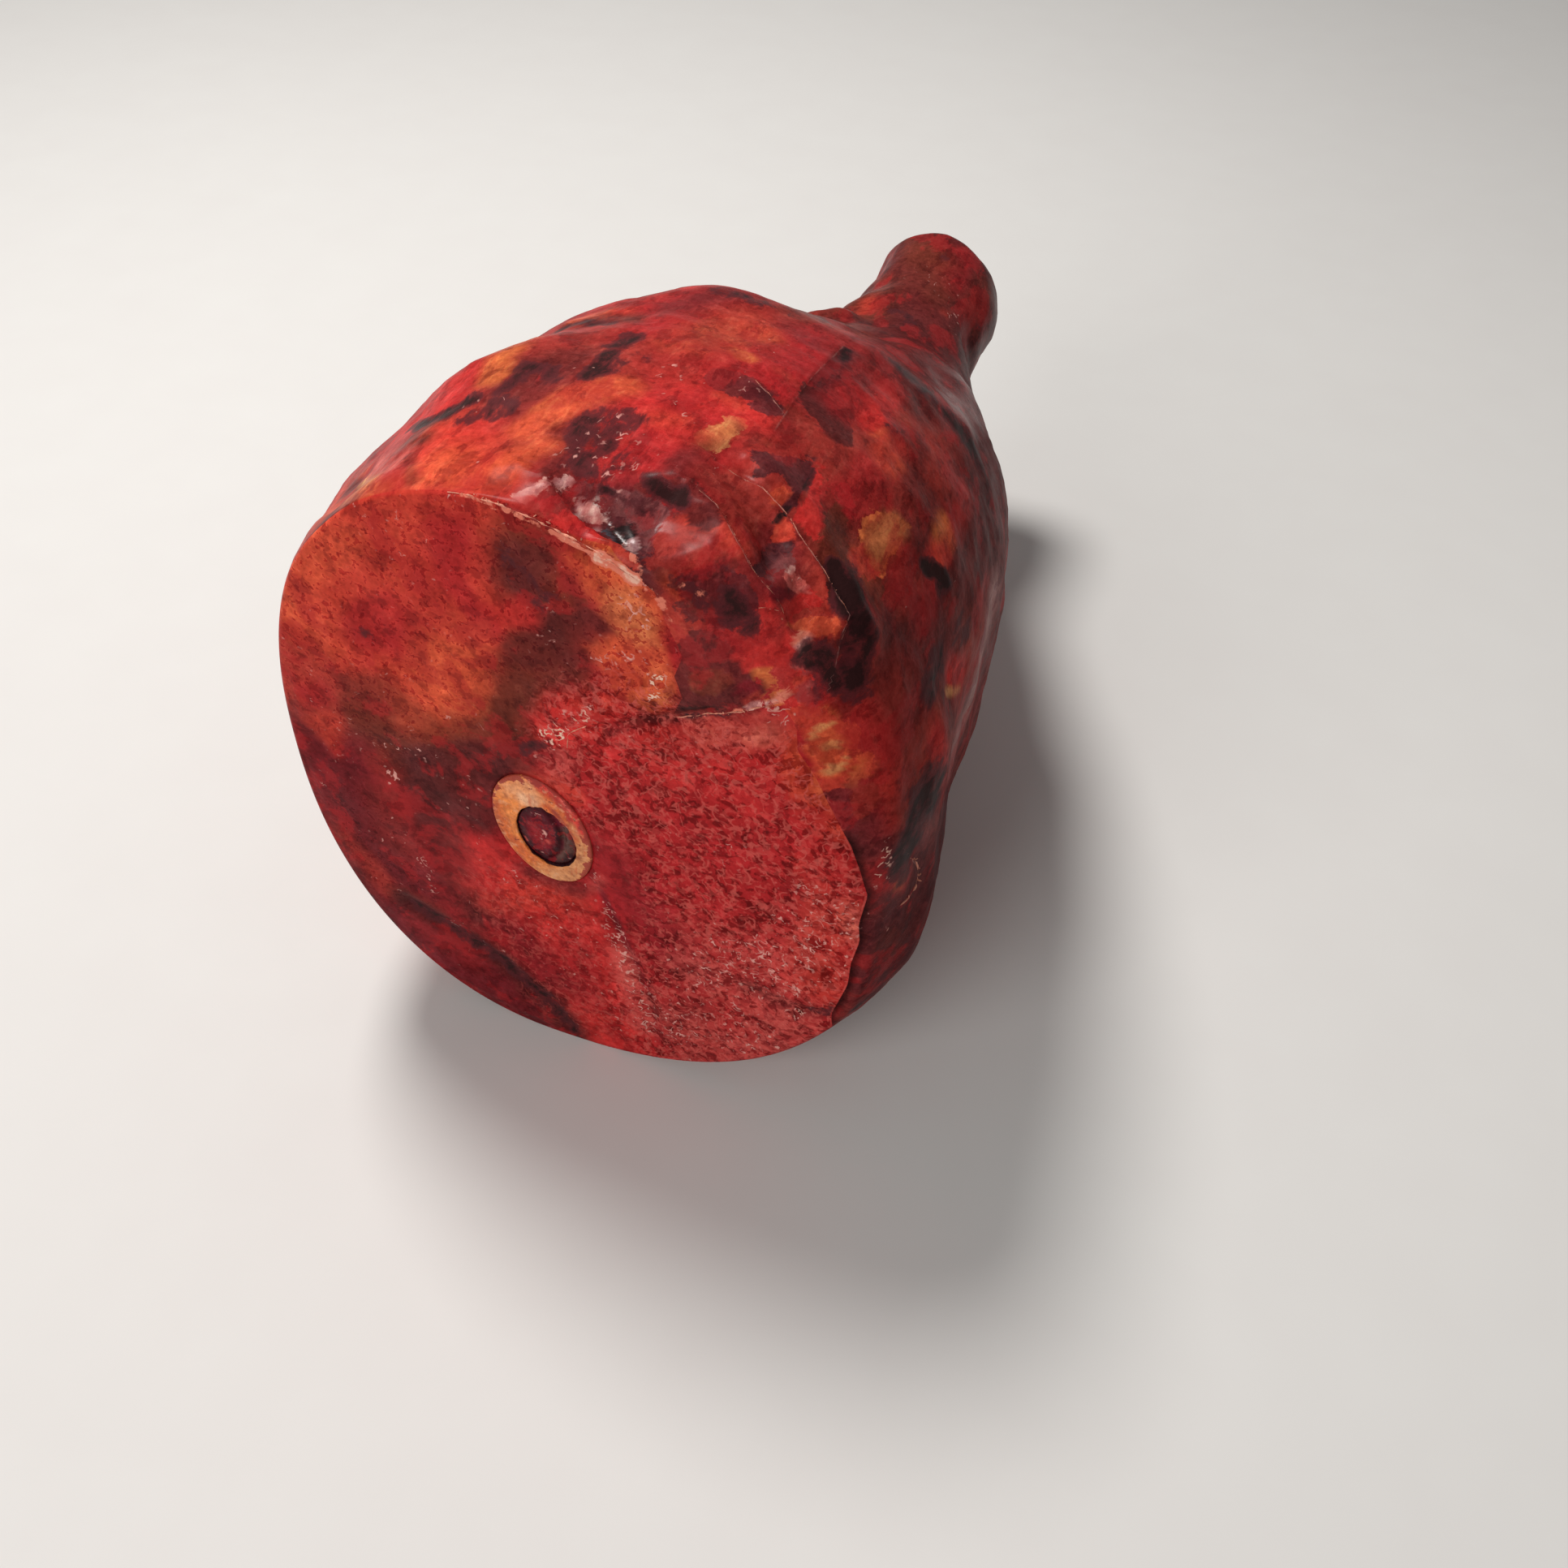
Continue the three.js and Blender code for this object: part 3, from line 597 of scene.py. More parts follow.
# Brushed fields of the cut face's print.
FACE_FIELDS = [
    ("orange_red", 0.8, (-62, 151), (-56, 161), (-46, 171), (-33, 177), (-25, 176), (-29, 166),
     (-32, 155), (-40, 151), (-47, 146), (-57, 137), (-64, 135)),
    ("orange", 0.45, (-61, 151), (-55, 161), (-46, 169), (-41, 168), (-44, 159), (-54, 150), (-61, 142)),
    ("crimson", 0.8, (-24, 175), (-16, 178), (-15, 172), (-17, 163), (-15, 158), (-13, 154), (-17, 151),
     (-21, 157), (-24, 159), (-24, 165)),
    ("crimson", 0.55, (-47, 146), (-37, 154), (-34, 150), (-34, 140), (-39, 130), (-41, 134), (-49, 134),
     (-57, 132), (-55, 138)),
    ("orange", 0.4, (-36, 138), (-23, 144), (-15, 143), (-15, 132), (-16, 121), (-24, 119), (-30, 123),
     (-34, 126)),
    ("brown", 0.5, (-56, 121), (-44, 126), (-38, 122), (-27, 113), (-35, 103), (-47, 99), (-58, 102)),
    ("orange_red", 0.8, (-71, 101), (-64, 107), (-58, 107), (-59, 101), (-64, 92), (-68, 96)),
    ("crimson", 0.6, (-70, 113), (-61, 118), (-59, 112), (-64, 108), (-71, 104)),
    ("maroon", 0.6, (-5, 176), (4, 179), (6, 172), (0, 163), (-5, 161), (-7, 166)),
    ("bright_red", 0.75, (-13, 156), (-5, 161), (2, 160), (-1, 153), (-9, 152), (-12, 146), (-13, 149)),
    ("maroon", 0.55, (-11, 149), (3, 156), (10, 157), (16, 156), (10, 148), (-3, 140), (-11, 141)),
    ("maroon", 0.7, (-1, 158), (11, 164), (18, 159), (11, 156), (3, 156)),
    ("orange", 0.8, (9, 175), (16, 176), (23, 174), (24, 171), (28, 165), (29, 159), (31, 151), (29, 146),
     (25, 142), (18, 141), (14, 148), (11, 153), (18, 159), (11, 167)),
    ("maroon", 0.6, (6, 169), (9, 172), (12, 167), (19, 159), (15, 158), (9, 162)),
    ("tan", 0.3, (16, 171), (23, 173), (27, 165), (28, 159), (23, 156), (19, 159), (15, 165)),
    ("crimson", 0.9, (29, 167), (33, 169), (37, 162), (36, 153), (32, 147), (31, 153), (29, 161)),
    ("deep", 0.8, (33, 156), (39, 162), (41, 151), (36, 144), (32, 145)),
    ("bright_red", 0.8, (-6, 126), (0, 137), (5, 136), (9, 134), (11, 129), (4, 121), (1, 117),
     (-4, 120)),
    ("orange_red", 0.6, (5, 135), (11, 139), (16, 139), (14, 133), (9, 133)),
    ("brown", 0.6, (-15, 128), (-7, 140), (2, 137), (-6, 125), (-4, 119), (-14, 116), (-20, 119)),
    ("maroon", 0.75, (-47, 97), (-27, 111), (-9, 117), (1, 116), (-8, 107), (-22, 99), (-39, 92)),
]

# Scorched places, and on the cut face two painted shadow lines: half width, softness, strength, path.
SKIN_BURNS = [
    (6.4, 0.7, 0.5, (20, 86), (28, 89), (35, 88)),
    (4, 0.9, 0.4, (24, 83), (20, 85)),
    (1.6, 0.9, 0.65, (24, 90), (33, 90.5)),
    (1.6, 0.9, 0.6, (25, 86), (31, 87)),
    (2.4, 0.7, 0.85, (19, 73), (20.5, 78)),
    (3, 0.9, 0.35, (16, 72), (15, 78)),
    (0.9, 0.6, 0.8, (13.5, 76), (14.5, 82)),
    (3.6, 0.7, 1, (35, 109.5), (32, 111)),
    (3.4, 0.8, 0.6, (30, 104), (33, 102), (28, 107)),
    (2.6, 0.7, 0.8, (33, 113), (31, 117), (34, 121)),
    (2.9, 0.6, 0.85, (49, 95), (56, 95), (62, 95.6)),
    (3.6, 0.8, 0.7, (68, 96), (75, 96)),
    (3, 0.9, 0.5, (46, 99), (50, 101)),
    (2.4, 0.8, 0.7, (44, 104), (50, 104), (38, 105)),
    (4, 0.9, 0.3, (56, 92), (64, 93)),
    (2.8, 0.5, 1, (59, 36.5), (63, 35), (66, 31.5)),
    (2.6, 0.8, 0.7, (60, 32), (66, 31)),
    (2.6, 0.6, 1, (21, 46), (25, 49), (28, 51)),
    (4.6, 0.7, 0.75, (15, 36), (19, 41), (26, 46), (30, 48)),
    (2.8, 0.6, 0.75, (11, 38), (12.5, 43), (10, 45)),
    (5, 0.7, 0.6, (38, 24), (50, 24)),
    (2.4, 0.8, 0.7, (34, 24.5), (40, 25)),
    (8, 0.6, 0.8, (13, 6), (20, 10), (28, 9)),
    (9, 0.9, 0.5, (38, -6), (56, -9)),
    (6, 0.9, 0.5, (18, -16), (12, -20)),
    (2.4, 0.7, 0.7, (4.5, 54), (5, 59)),
    (1.6, 0.8, 0.5, (3, 56), (2, 66)),
    (1, 0.7, 0.6, (11, 66), (10.4, 67)),
    (0.9, 0.5, 0.8, (40, 61.3), (52, 61.3)),
    (0.9, 0.7, 0.9, (30, 61.6), (34, 61.6)),
    (5, 0.8, 0.85, (134, 34), (131, 44)),
    (4, 0.8, 0.7, (130, 52), (128, 60)),
    (1.8, 0.7, 0.85, (106, 68), (114, 68.4)),
    (3, 0.8, 0.6, (84, 104), (88, 110), (86, 114)),
    (2.4, 0.9, 0.5, (91, 53), (89, 54)),
    (2.4, 0.9, 0.4, (64, 73), (68, 72)),
    (4, 0.9, 0.45, (118, 84), (116, 92)),
    (4, 0.9, 0.4, (72, 20), (64, 22)),
]
FACE_BURNS_AND_SHADOWS = [
    (2.4, 0.8, 0.7, (-50, 38), (-38, 33), (-24, 26), (-12, 15), (-5, 4)),
    (3, 0.8, 0.6, (-66, 34), (-60, 26)),
    (2, 0.9, 0.6, (-45, 138)),
    (4, 0.9, 0.3, (2, 162), (-6, 170)),
    # painted shadow line just above the torn edge
    (1.4, 0.7, 0.7, (33, 140), (42, 144)),
    (2, 0.8, 0.6, (-3, 118), (-9, 114)),
    # painted shade in the crease at the lower right
    (2, 0.9, 0.5, (66, 50), (72, 52)),
]

# Pale fibres and glints in the print, in the same layout.
SKIN_PALE = [
    (1.3, 0.6, 0.95, (8.4, 78), (6.4, 76.4), (4.6, 73.8)),
    (8, 0.7, 0.8, (22, 83), (32, 88), (20, 88)),
    (3, 0.8, 0.7, (15, 86), (18, 88)),
    (8, 0.9, 0.6, (40, 80), (60, 86), (62, 88)),
    (6, 0.9, 0.7, (66, 70), (68, 76)),
    (4, 0.8, 0.7, (33, 72), (30, 73)),
    (4, 0.9, 0.5, (44, 74), (46, 77)),
    (5, 0.9, 0.6, (54, 98), (60, 97)),
    (7, 0.9, 0.5, (28, 112), (34, 104)),
    (12, 0.9, 0.35, (12, 100), (8, 94)),
    (4, 0.7, 1, (4, 6), (6, 9.6)),
    (3, 0.8, 1, (3, 41), (4, 38)),
    (2.6, 0.8, 0.9, (17, 55.4), (19, 53.6)),
    (1.6, 0.7, 0.9, (9, 83.6), (8.4, 80.6)),
    (6, 0.9, 0.6, (92, 78), (96, 80), (86, 77)),
    (5, 0.9, 0.5, (95, 43), (105, 43)),
    (14, 0.9, 0.3, (40, 32), (60, 30), (80, 26)),
    (8, 0.9, 0.7, (242, 50), (248, 54), (262, 86)),
]
FACE_PALE = [
    (1.6, 0.7, 1.1, (60, 44.3), (63, 47)),
    (1.3, 0.8, 0.9, (-52, 99.5), (-44, 101), (-34, 102)),
    (3, 0.8, 0.9, (-48, 90)),
    (2.2, 0.7, 0.7, (-44, 58), (-42, 46)),
    (2.5, 0.8, 0.6, (-38, 36)),
    (6, 0.9, 0.3, (-46, 72), (-52, 66)),
    (2.4, 0.6, 1.2, (27, 149), (26, 144.4)),
    (5, 0.9, 0.5, (22, 162)),
    (2.4, 0.7, 1.2, (-2, 121), (1, 119), (2, 127)),
    (2.4, 0.7, 1, (6, 131), (9, 133), (9, 129)),
    (2.6, 0.8, 0.8, (14, 148), (16, 152), (23, 153)),
    (3, 0.8, 0.9, (22, 168), (24, 163)),
    (3.6, 0.7, 0.9, (9, 62), (12, 50), (16, 36), (19, 18)),
    (11, 0.8, 0.72, (42, 60), (56, 62), (70, 86)),
    (12, 0.9, 0.6, (28, 24), (46, 30), (40, 48)),
    (10, 0.9, 0.3, (-14, 62), (-2, 50)),
    (8, 0.9, 0.35, (2, 30), (10, 14)),
    (2, 0.8, 0.5, (8, 76), (4, 72)),
]

# Where the film is glossiest, where it is dull, and where the print is worn thin.
SKIN_GLOSS = [
    (3, 0.6, 1, (6, 84), (11, 83), (9, 80)),
    (2, 0.8, 1, (3, 73), (8, 78)),
    (1.4, 0.8, 0.9, (9, 86.4), (11, 85.6)),
    (4, 0.9, 0.35, (12, 74), (14, 80)),
    (4, 0.8, 0.9, (16, 56), (22, 55)),
    (3, 0.8, 0.8, (10, 46), (12, 48)),
    (3, 0.9, 0.6, (7, 46), (3, 42)),
    (9, 0.9, 0.3, (24, 84), (36, 90)),
    (10, 0.9, 0.5, (150, 46), (200, 42)),
]
SKIN_DULL = [
    (28, 0.6, 0.95, (10, -10), (60, -14), (110, -8)),
    (7, 0.7, 0.9, (13, 72), (17, 69)),
    (26, 0.7, 0.9, (124, 30), (200, 30)),
    (8, 0.7, 0.9, (6, 92), (12, 98)),
    (30, 0.5, 1, (26, 22), (70, 24), (120, 24)),
    (14, 0.6, 0.95, (30, 40), (100, 42)),
]
SKIN_WORN = [
    (0.5, 0.5, 0.6, (1, 84), (5.8, 84.6)),
    (1, 0.7, 0.5, (1.6, 72.4), (0.4, 70)),
    (1.4, 0.8, 0.42, (1.5, 66), (3, 62)),
    (1, 0.8, 0.5, (4, 42.6), (5, 41)),
    (0.6, 0.6, 0.7, (9.4, 51.6), (8.2, 52), (8.4, 53.6)),
    (0.5, 0.6, 0.62, (9.4, 55), (11, 57)),
    (0.4, 0.6, 0.5, (66, 70), (70, 75)),
]
FACE_WORN = [
    (0.9, 0.5, 0.45, (-20, 184), (-10, 183.6), (-2, 182.4), (5, 180.6)),
    (0.9, 0.4, 0.62, (5, 180.6), (11, 178.2), (15, 177)),
    (1.6, 0.5, 0.75, (15, 177), (19, 175.6), (22.4, 174)),
    (1.8, 0.8, 0.45, (24, 173.6), (28, 171), (30, 166)),
    (1, 0.8, 0.5, (44, 145), (50, 146.6), (56, 148)),
]

# The cut face's own print ends at this outline, which runs past the cut edge except on the right.
FACE_PRINT_OUTLINE = [
    (27, 172), (30, 164), (33, 157), (31, 151), (33, 146), (30, 139), (37, 141), (45, 145),
    (53.5, 147), (57, 142), (58, 136), (62.5, 130), (67, 122), (72, 113), (74.6, 106), (76.9, 98),
    (75.6, 88), (76.2, 82), (74.6, 73), (74.2, 64), (72.4, 57), (70.6, 50), (72, 34), (60, -20),
    (-100, -20), (-100, 200), (0, 200), (8, 186),
]
FACE_PRINT_RIGHT = [(75.5, 112), (76.7, 97), (76, 83), (73.5, 61), (71, 51)]

RIGHT_LAP = [(35, 72), (34, 66), (32, 62), (29, 58), (25, 52), (22, 48), (20, 45), (16, 43.5)]
POCKET_LAP = [(22, 72), (20, 69), (15, 64.5), (11, 60), (9.6, 56), (10, 52)]
CREST_LAP = [(63, 69.5), (67, 73), (70, 76)]
FLANK_LAP = [(10.5, -2), (15, -2.8), (19, -2.6), (20, -1), (19, 0.6), (15, 3.6)]

# Where one piece of printed paper laps over the next: path, shade, line, step. The shaded side is
# on the left as the path runs. Shade is how dark it is, line how pale the paper's edge is, and step
# how far that side stands out.
PAPER_LAPS = [
    ([(10, 88.6), (6.2, 83.2), (3.6, 77.4), (1.6, 70.8)], 0.35, 0, -1),
    ([(1.6, 70.8), (8, 72.6), (15, 73.6)], 0.25, 0.1, -0.35),
    ([(118, 69.6), (95, 69.4), (70, 69.3), (54, 69.3)], 0.5, 0.25, -0.3),
    ([(53, 61), (38, 61)], 0, 0, 0.2),
    (RIGHT_LAP + [(12, 40)], 0.3, 0.8, -0.7),
    (POCKET_LAP, 0.35, 0.8, -0.7),
    (CREST_LAP, 0.2, 0.9, 0.2),
    ([(79, 77), (72, 73), (69, 70)], 0.25, 0, 0.2),
    (FLANK_LAP, 0.2, 0.6, 0.3),
]

# Creases of the paper: half width, rise, path.
SKIN_CREASES = [
    (2.6, -0.9, (21, 62), (14, 56), (8, 48)),
    (2.2, 1, (24, 56), (15, 55)),
    (2.4, -0.9, (26, 60), (12, 58)),
    (6, 1.2, (8, 75), (12, 77)),
    (0.9, -0.9, (13, 83), (11, 81), (8.6, 79)),
    (3, 0.8, (12, 84), (11, 88)),
    (1.6, 0.6, (9, 81.4), (8, 82)),
    (1.3, -1, (5, 75), (7.4, 77.6)),
    (8, -1.2, (6, 96), (20, 100)),
    (5, -1, (8, 91)),
    (5, 0.6, (60, 84), (90, 92)),
    (5, 0.6, (44, 40), (70, 44)),
    (5, -0.7, (30, 24), (52, 18)),
    (4.5, -0.6, (70, 58), (110, 62)),
    (5, -0.6, (40, 100), (70, 100)),
    (4, 0.8, (122, 66), (200, 60)),
    (4, -0.7, (130, 76), (190, 74)),
    (5, 0.6, (140, 40), (200, 44)),
]
FACE_CREASES = [
    (2.4, -1, (-52, 39), (-38, 33), (-24, 26), (-12, 15), (-4, 2)),
    (2, -0.8, (7, 70), (12, 55), (18, 38), (20, 25), (21, 12)),
    (2, -1.1, (12, 129), (24, 135), (34, 140), (48, 146)),
    (4, 0.9, (2, 128), (14, 134), (22, 132)),
    (3, 0.7, (24, 144), (36, 147)),
    (6, -0.6, (-20, 104), (-46, 100), (-70, 96)),
    (6, -0.6, (-38, 84), (-34, 50)),
    (2.6, -0.8, (72, 51), (60, 47.6), (48, 50)),
]

# Torn edges, where the paper's white core shows: surface, path, width.
TEARS = [
    (on_face, [(-19, 184.4), (-10, 184.2), (-2, 183.2), (5, 181.4), (12, 179.4), (20, 175.6),
               (27.6, 171.6)], 0.9),
    (on_face, [(30, 138), (36, 140.6), (45, 144.9), (51, 147), (54.5, 148.5)], 0.8),
    (on_face, [(3, 119), (4, 124), (9, 129), (13, 131)], 0.5),
    (on_skin, RIGHT_LAP, 0.3),
    (on_skin, POCKET_LAP, 0.4),
    (on_skin, [(9, 53), (6.6, 55)], 0.4),
    (on_skin, CREST_LAP, 0.3),
    (on_skin, FLANK_LAP, 1.4),
]


# ---------------- sizes and colours a user sets

def srgb(red, green, blue):
    """A colour picked on screen, 0 to 255, as the linear values that Blender's colours hold."""
    shares = [value / 255 for value in (red, green, blue)]
    return tuple(s / 12.92 if s <= 0.04045 else ((s + 0.055) / 1.055) ** 2.4 for s in shares)


def colour_property(name, red, green, blue, description):
    return bpy.props.FloatVectorProperty(
        name=name, description=description, subtype="COLOR", size=3, min=0, max=1,
        default=srgb(red, green, blue))


class HamPrintColours(bpy.types.PropertyGroup):
    crimson: colour_property("Crimson", 166, 34, 37, "Lean meat")
    bright_red: colour_property("Bright red", 196, 46, 43, "Freshest lean meat and glaze")
    # also used for a painted shadow line along a crease of the cut face
    rim_red: colour_property("Rim red", 112, 24, 33, "Smooth lean meat at the rim")
    deep: colour_property("Deep red", 108, 37, 36, "Well done skin")
    brick: colour_property("Brick", 151, 48, 41, "Browned red skin")
    # also used for painted shade in creases and folds
    maroon: colour_property("Maroon", 87, 30, 31, "Dark skin and connective tissue")
    # also used for painted shade in a crease and at the end of the pocket
    plum: colour_property("Plum", 82, 34, 38, "Purple brown skin")
    # also used for a painted sheen along the right flank
    mauve: colour_property("Mauve", 122, 66, 66, "Smooth purple grey skin in a fold")
    brown: colour_property("Brown", 104, 42, 31, "Brown skin")
    orange_red: colour_property("Orange red", 194, 62, 47, "Glazed skin")
    orange: colour_property("Orange", 212, 86, 55, "Glaze at its brightest")
    # painted light: glaze made brighter where it catches the light
    amber: colour_property("Amber", 238, 124, 70, "Glaze where it lies thickest")
    ochre: colour_property("Ochre", 202, 102, 56, "Roast fat")
    # also used for painted light on a patch of the right flank
    tan: colour_property("Tan", 214, 146, 92, "Palest fat")
    # also used for painted highlights in the pocket and on the fold
    rose: colour_property("Rose", 206, 92, 84, "Meat with a pale sheen")
    # also used for painted highlights in the pocket, on the fold and on the rolled edge
    pink_and_highlight: colour_property("Pink", 224, 160, 150, "Pale fibres and glints")
    salmon: colour_property("Salmon", 222, 124, 102, "Print worn thin at an edge")
    paper: colour_property("Paper", 232, 188, 166, "Bare paper at a worn edge")
    # painted sheen: grey-white reflection on the crumpled film in the pocket by the cut edge and along
    # the right flank
    ash: colour_property("Ash", 196, 156, 150, "Crumpled film in the pocket by the cut edge")
    # painted shade deep in the pocket by the cut edge
    pocket_shade: colour_property("Slate", 74, 68, 74, "Grey film deep in that pocket")
    # also used for painted shade in the pocket and painted shadow lines beside creases and a torn edge
    char: colour_property("Char", 44, 25, 25, "Scorched skin")


class HamSkinSizes(bpy.types.PropertyGroup):
    spokes: bpy.props.IntProperty(
        name="Spokes", description="Points round the leg", default=344, min=90, max=344)
    crumple: bpy.props.FloatProperty(
        name="Crumple", description="Height of the paper's creases, in millimetres",
        default=0.5, min=0, max=3)
    raggedness: bpy.props.FloatProperty(
        name="Raggedness", description="How far a mark's edge strays, as a share of its width",
        default=0.55, min=0, max=1.5, subtype="FACTOR")


class HamBoneSizes(bpy.types.PropertyGroup):
    proud: bpy.props.FloatProperty(
        name="Proud", description="How far the sawn bone stands out of the cut face",
        default=0.0004, min=0, max=0.002, unit="LENGTH")
    sunk: bpy.props.FloatProperty(
        name="Marrow sunk", description="Depth of the marrow's edge below the sawn bone",
        default=0.0006, min=0.0003, max=0.006, unit="LENGTH")
    ring: colour_property("Ring", 226, 130, 64, "Sawn bone")
    ring_pale: colour_property("Ring pale", 228, 172, 134, "Palest sawn bone")
    ring_tan: colour_property("Ring tan", 200, 136, 92, "Duller sawn bone on the right")
    ring_edge: colour_property("Ring edge", 196, 84, 38, "Sawn bone at its edges")
    stain: colour_property("Stain", 134, 50, 26, "Brown streaks and pits of the sawn bone")
    marrow: colour_property("Marrow", 92, 18, 32, "Marrow")
    # grey film beside the marrow, with a painted sheen
    gristle_and_sheen: colour_property("Gristle", 88, 58, 52, "Grey film beside the marrow")
    # painted shade of the marrow hole and of the gap round the marrow
    hole_shade: colour_property("Hollow", 46, 14, 20, "Dark of the marrow hole")


class HamTearSizes(bpy.types.PropertyGroup):
    width: bpy.props.FloatProperty(
        name="Width", description="Widest part of a torn edge of the paper",
        default=0.0007, min=0.0002, max=0.003, unit="LENGTH")
    flakes: bpy.props.FloatProperty(
        name="Flake spacing", description="Distance between the frayed flakes",
        default=0.0016, min=0.0005, max=0.01, unit="LENGTH")
    colour: colour_property("Colour", 216, 136, 112, "White core of the printed paper")


class HamStageSettings(bpy.types.PropertyGroup):
    key: bpy.props.FloatProperty(
        name="Key light", description="Power of the light above the left side, in watts",
        default=11.6, min=0, max=100)
    fill: bpy.props.FloatProperty(
        name="Fill light", description="Power of the light beside the camera, in watts",
        default=10.0, min=0, max=100)
    room: bpy.props.FloatProperty(
        name="Room light", description="Strength of the light from all round",
        default=0.2, min=0, max=2)
    floor: colour_property("Floor", 222, 221, 219, "Pale floor")


# ---------------- nodes

def set_inputs(tree, node, inputs):
    """Gives a node's inputs their plain values and their links."""
    for key, value in inputs.items():
        if isinstance(value, bpy.types.NodeSocket):
            tree.links.new(value, node.inputs[key])
        else:
            node.inputs[key].default_value = value


def add_node(tree, kind, inputs=None, **settings):
    """A new node with its settings, its plain values and its links."""
    node = tree.nodes.new(kind)
    for name, value in settings.items():
        setattr(node, name, value)
    set_inputs(tree, node, inputs or {})
    return node


def node_output(tree, kind, inputs=None, **settings):
    """The first output of a new node."""
    return add_node(tree, kind, inputs, **settings).outputs[0]


def maths(tree, operation, a, b=0.0, clamp=False):
    return node_output(tree, "ShaderNodeMath", {0: a, 1: b}, operation=operation, use_clamp=clamp)


def times(tree, *values):
    """The product of several shares."""
    product = values[0]
    for value in values[1:]:
        product = maths(tree, "MULTIPLY", product, value)
    return product


def ramp(tree, value, low, high, start=0.0, end=1.0):
    """A smooth change from start to end while value goes from low to high."""
    return node_output(
        tree, "ShaderNodeMapRange",
        {0: value, 1: low, 2: high, 3: start, 4: end}, interpolation_type="SMOOTHSTEP")


def noise_value(tree, vector, scale, detail=4.0, roughness=0.55, distortion=0.0):
    return node_output(
        tree, "ShaderNodeTexNoise",
        {"Vector": vector, "Scale": scale, "Detail": detail, "Roughness": roughness,
         "Distortion": distortion})


def noise_swing(tree, vector, *look):
    """Noise round zero. Its look is the scale, detail, roughness and distortion."""
    return maths(tree, "SUBTRACT", noise_value(tree, vector, *look), 0.5)


def noise_mask(tree, vector, look, low, high, start=0.0, end=1.0):
    """A mask that goes from start to end while noise of that look goes from low to high."""
    return ramp(tree, noise_value(tree, vector, *look), low, high, start, end)


def mix_colour(tree, share, a, b, blend="MIX"):
    return add_node(
        tree, "ShaderNodeMix", {0: share, 6: a, 7: b}, data_type="RGBA", blend_type=blend).outputs[2]


def inked(tree, colour, ink, *shares):
    """Lays an ink over the colour, by the product of the shares."""
    return mix_colour(tree, times(tree, *shares), colour, (*ink, 1))


def tinted(tree, colour, tint, *shares):
    """Multiplies the colour by a tint, by the product of the shares."""
    return mix_colour(tree, times(tree, *shares), colour, (*tint, 1), "MULTIPLY")


def stored_value(tree, name):
    return add_node(tree, "ShaderNodeAttribute", attribute_name=name).outputs["Fac"]


def stored_colour(tree, name):
    return add_node(tree, "ShaderNodeAttribute", attribute_name=name).outputs["Color"]


def stretched(tree, where, scale, rotation=(0, 0, 0)):
    return node_output(
        tree, "ShaderNodeMapping", {"Vector": where, "Rotation": rotation, "Scale": scale})


def new_group(name, kind, inputs, outputs):
    """A node group with its sockets, each a name, a kind and its default if it has one."""
    group = bpy.data.node_groups.new(name, kind)
    for direction, rows in (("INPUT", inputs), ("OUTPUT", outputs)):
        for label, value, *default in rows:
            made = group.interface.new_socket(
                name=label, in_out=direction, socket_type="NodeSocket" + value)
            if default:
                made.default_value = default[0]
    return group, group.nodes.new("NodeGroupInput").outputs, group.nodes.new("NodeGroupOutput").inputs


def mottle_group():
    """Broad and fine uneven tone of a printed or painted surface, with its own height."""
    found = bpy.data.node_groups.get("printed_mottle")
    if found:
        return found
    group, inlet, outlet = new_group(
        "printed_mottle", "ShaderNodeTree",
        [("Color", "Color", (0.5, 0.1, 0.1, 1)), ("Vector", "Vector"), ("Broad Scale", "Float", 70.0),
         ("Fine Scale", "Float", 420.0), ("Contrast", "Float", 0.5)],
        [("Color", "Color"), ("Height", "Float")])
    broad = noise_swing(group, inlet["Vector"], inlet["Broad Scale"], 4, 0.6, 0.3)
    fine = noise_swing(group, inlet["Vector"], inlet["Fine Scale"], 2, 0.5)
    height = maths(group, "ADD", broad, fine)
    change = times(group, height, inlet["Contrast"])
    tones = [
        maths(group, "MAXIMUM", 0.08, maths(group, "ADD", 1.0, times(group, change, share)))
        for share in (1.0, 1.3, 1.3)
    ]
    tone = node_output(group, "ShaderNodeCombineColor", dict(enumerate(tones)))
    group.links.new(mix_colour(group, 1.0, inlet["Color"], tone, "MULTIPLY"), outlet["Color"])
    group.links.new(height, outlet["Height"])
    return group


def mottled(tree, colour, where, broad, fine, contrast):
    """The colour in an uneven tone at a broad and a fine scale, and the height that goes with it."""
    made = add_node(tree, "ShaderNodeGroup", {
        "Color": colour, "Vector": where, "Broad Scale": broad, "Fine Scale": fine,
        "Contrast": contrast}, node_tree=mottle_group())
    return made.outputs["Color"], made.outputs["Height"]


